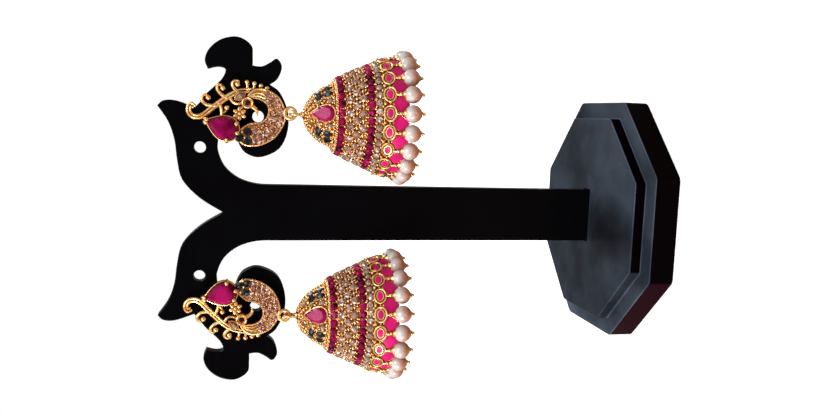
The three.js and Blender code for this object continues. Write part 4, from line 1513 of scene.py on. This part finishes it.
def pearl_pins(pearl, tip):
    """Pins that hang the pearls, each with a cup above and a pointed tip below, and the
    wires round the pennants."""
    shape = Shape()
    shape.scatter(wire_loop(pennant(), -0.1, 0.13, 6), pennant_spots())
    top, foot = PEARLS["drop"] - pearl, PEARLS["drop"] + pearl
    cup, cone = lathe(PIN_CUP, 20), lathe(PIN_CONE, 16)
    for azimuth in round_the_bell(PEARLS["count"]):
        path = [bell_spot(azimuth, d, PEARLS["circle"], 0.0)[0]
                for d in (PIN["top"], top - 0.4, top + 0.2, foot - 0.2, foot + 0.1)]
        shape.add(*tube(path, PIN["radius"], 8))
        for form, drop, size in ((cup, top - 0.1, 1.0), (ball(10, 6), top - 0.6, 0.42),
                                 (cone, foot, 1.0), (ball(12, 8), foot + 0.4, tip)):
            origin = bell_spot(azimuth, drop, PEARLS["circle"], 0.0)[0]
            shape.scatter(form, [(origin, np.eye(3), size)])
    return shape


class JHUMKA_OT_bells(bpy.types.Operator):
    """Builds both bells: shell, cap, stone rows, ring gallery, enamel and pearl pins"""

    bl_idname = "jhumka.bells"
    bl_label = "Bells"

    def execute(self, context):
        sizes = context.scene.jhumka_sizes
        pins = pearl_pins(sizes.pearl / MM, sizes.pin_tip / MM)
        dark, white = scattered(ROUND_STONE, dark_spots()), scattered(ROUND_STONE, white_spots())
        pieces = {
            # The bell body takes the shaded copy of the gilt: painted shade between its stones.
            "bell_body": (bell_shell(), "gilt_ground", "gold", 40, ["bell"]),
            "bell_eye": (hanging_eye(), "gilt", "gold", 40),
            "cap_details": (cap_details(sizes.scatter_seed), "gilt", "gold", 45),
            "skirt_details": (skirt_details(sizes.grain / MM), "gilt", "gold", 45),
            "ring_gallery": (ring_gallery(sizes.gallery_wire / MM), "gilt_cast", "gold", 45),
            "pearl_pins": (pins, "gilt", "gold", 45),
            "cap_pears": (cap_pears(), "big_ruby", "ruby", 0),
            "cap_dark_stones": (dark, "dark_stone", "dark_stone", 0),
            "cap_white_stones": (white, "crystal", "clear_stone", 0),
            "ruby_rows": (row_stones("ruby"), "ruby", "ruby", 0),
            "champagne_rows": (row_stones("champagne"), "champagne", "champagne_stone", 0),
            "white_row": (row_stones("white"), "crystal", "clear_stone", 0),
            "enamel_fields": (enamel_fields(), "pink_enamel", "pink_enamel", 40,
                              ["enamel_band"]),
        }
        for side in EARRINGS:
            hang(pieces, side)
        return {"FINISHED"}


class JHUMKA_OT_pearls(bpy.types.Operator):
    """Builds the fringe of pearls under both bells"""

    bl_idname = "jhumka.pearls"
    bl_label = "Pearls"

    def execute(self, context):
        shape = Shape()
        corners, faces = ball(32, 20)
        shape.add(corners * context.scene.jhumka_sizes.pearl / MM, faces)
        first = make_piece(shape, "pearl_form", get_material("pearl"), 60)
        for side in EARRINGS:
            for i in range(PEARLS["count"]):
                label = f"{side}_{i + 1:02d}"
                low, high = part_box("pearl_" + label)
                piece = bpy.data.objects.new("pearl_bead_" + label, first.data)
                context.scene.collection.objects.link(piece)
                piece.location = (low + high) / 2
                piece.rotation_euler.z = 1.3 * i
                attach(piece, side + "_drop", "pearl", "pearl_" + label)
        bpy.data.objects.remove(first)
        return {"FINISHED"}


# ---- Stage --------------------

CAMERA = {"place": (20.86, -160.46, 84.80), "azimuth": 7.053, "elevation": 13.092,
          "roll": -89.468}
FLOOR_REACH = 20000.0
LIGHTS = [
    {"name": "window", "from": (-420.0, -330.0, 190.0), "size": 170.0, "share": 1.0},
    {"name": "overhead", "from": (60.0, -260.0, 480.0), "size": 200.0, "share": 0.6},
    {"name": "back", "from": (260.0, 380.0, 330.0), "size": 240.0, "share": 0.6},
]


class JHUMKA_OT_stage(bpy.types.Operator):
    """Builds the pale floor, soft lights and the camera"""

    bl_idname = "jhumka.stage"
    bl_label = "Stage"

    def execute(self, context):
        look = context.scene.jhumka_stage
        self.add_floor(context, look)
        middle = Vector((0, 0, 50)) * MM
        for facts in LIGHTS:
            lamp = bpy.data.lights.new(facts["name"], "AREA")
            lamp.shape = "SQUARE"
            lamp.size = facts["size"] * MM
            lamp.energy = look.key_power * facts["share"]
            light = bpy.data.objects.new(facts["name"], lamp)
            light.location = Vector(facts["from"]) * MM
            aim = (middle - light.location).to_track_quat("-Z", "Y")
            light.rotation_euler = aim.to_euler()
            context.scene.collection.objects.link(light)
        self.add_world(context, look)
        self.add_camera(context, look)
        context.scene.view_settings.view_transform = "Standard"
        return {"FINISHED"}

    def add_world(self, context, look):
        """A tent of light: bright overhead, dim and warm near the horizon."""
        world = bpy.data.worlds.new("light_tent")
        world.use_nodes = True
        nodes = Nodes(world.node_tree)
        world.node_tree.nodes.clear()
        way = nodes.split(nodes.new("ShaderNodeTexCoord").outputs["Generated"])
        rise = nodes.spread(way["Z"], 0.05, 0.85)
        tone = nodes.mix(rise, rgba(look.horizon_colour), (1.0, 1.0, 1.0, 1.0))
        tent = nodes.new("ShaderNodeBackground")
        nodes.link(tone, tent.inputs["Color"])
        nodes.link(nodes.spread(rise, 0.0, 1.0, look.horizon_light, look.zenith_light),
                   tent.inputs["Strength"])
        paper = nodes.new("ShaderNodeBackground")
        paper.inputs["Color"].default_value = (1.0, 1.0, 1.0, 1.0)
        blend = nodes.new("ShaderNodeMixShader")
        nodes.link(nodes.new("ShaderNodeLightPath").outputs["Is Camera Ray"], blend.inputs[0])
        nodes.link(tent.outputs[0], blend.inputs[1])
        nodes.link(paper.outputs[0], blend.inputs[2])
        output = nodes.new("ShaderNodeOutputWorld")
        nodes.link(blend.outputs[0], output.inputs["Surface"])
        context.scene.world = world

    def add_floor(self, context, look):
        material, nodes, shader = start_material(
            "floor_white", Roughness=1.0, Specular_IOR_Level=0.0,
            Emission_Color=(1.0, 1.0, 1.0, 1.0))
        seen = nodes.new("ShaderNodeLightPath").outputs["Is Camera Ray"]
        nodes.link(nodes.mix(seen, rgba(look.bounce_colour), rgba(look.floor_colour)),
                   shader.inputs["Base Color"])
        nodes.link(nodes.times(seen, look.floor_glow),
                   shader.inputs["Emission Strength"])
        shape = Shape()
        shape.add(at_height(circle(FLOOR_REACH, 48)), [tuple(range(48))])
        make_piece(shape, "floor", material, 0)

    def add_camera(self, context, look):
        azimuth, elevation, roll = (
            math.radians(CAMERA[name]) for name in ("azimuth", "elevation", "roll"))
        back = Vector((math.sin(azimuth) * math.cos(elevation),
                       -math.cos(azimuth) * math.cos(elevation), math.sin(elevation)))
        level = Vector((0, 0, 1)).cross(back).normalized()
        upright = back.cross(level)
        right = level * math.cos(roll) + upright * math.sin(roll)
        up = upright * math.cos(roll) - level * math.sin(roll)
        lens = bpy.data.cameras.new("camera")
        lens.lens = look.lens
        lens.sensor_width = 36.0
        lens.clip_start = 0.005
        camera = bpy.data.objects.new("camera", lens)
        turn = Matrix((right, up, back)).transposed().to_4x4()
        camera.matrix_world = Matrix.Translation(Vector(CAMERA["place"]) * MM) @ turn
        context.scene.collection.objects.link(camera)
        context.scene.camera = camera


# ---- Add-on --------------------

OPERATORS = (JHUMKA_OT_stage, JHUMKA_OT_plate, JHUMKA_OT_foot, JHUMKA_OT_stud_metal,
             JHUMKA_OT_stud_stones, JHUMKA_OT_nuts, JHUMKA_OT_bells, JHUMKA_OT_pearls)


class JHUMKA_PT_panel(bpy.types.Panel):
    """Lists the operators and settings"""

    bl_idname = "JHUMKA_PT_panel"
    bl_label = "Jhumka Earrings"
    bl_space_type = "VIEW_3D"
    bl_region_type = "UI"
    bl_category = "Jhumka"

    def draw(self, context):
        for operator in OPERATORS:
            self.layout.operator(operator.bl_idname)
        for group in ("jhumka_colours", "jhumka_sizes", "jhumka_stage"):
            settings = getattr(context.scene, group)
            box = self.layout.box()
            for name in settings.bl_rna.properties.keys():
                if name not in {"rna_type", "name"}:
                    box.prop(settings, name)


SETTINGS = {"jhumka_colours": JhumkaColours, "jhumka_sizes": JhumkaSizes,
            "jhumka_stage": JhumkaStage}


def register():
    for group in SETTINGS.values():
        bpy.utils.register_class(group)
    for name, group in SETTINGS.items():
        setattr(bpy.types.Scene, name, PointerProperty(type=group))
    for kind in (*OPERATORS, JHUMKA_PT_panel):
        bpy.utils.register_class(kind)


def unregister():
    for kind in (JHUMKA_PT_panel, *reversed(OPERATORS)):
        bpy.utils.unregister_class(kind)
    for name, group in SETTINGS.items():
        delattr(bpy.types.Scene, name)
        bpy.utils.unregister_class(group)


def main():
    register()
    bpy.ops.jhumka.stage()
    bpy.ops.jhumka.plate()
    bpy.ops.jhumka.foot()
    bpy.ops.jhumka.stud_metal()
    bpy.ops.jhumka.stud_stones()
    bpy.ops.jhumka.nuts()
    bpy.ops.jhumka.bells()
    bpy.ops.jhumka.pearls()


if __name__ == "__main__":
    main()
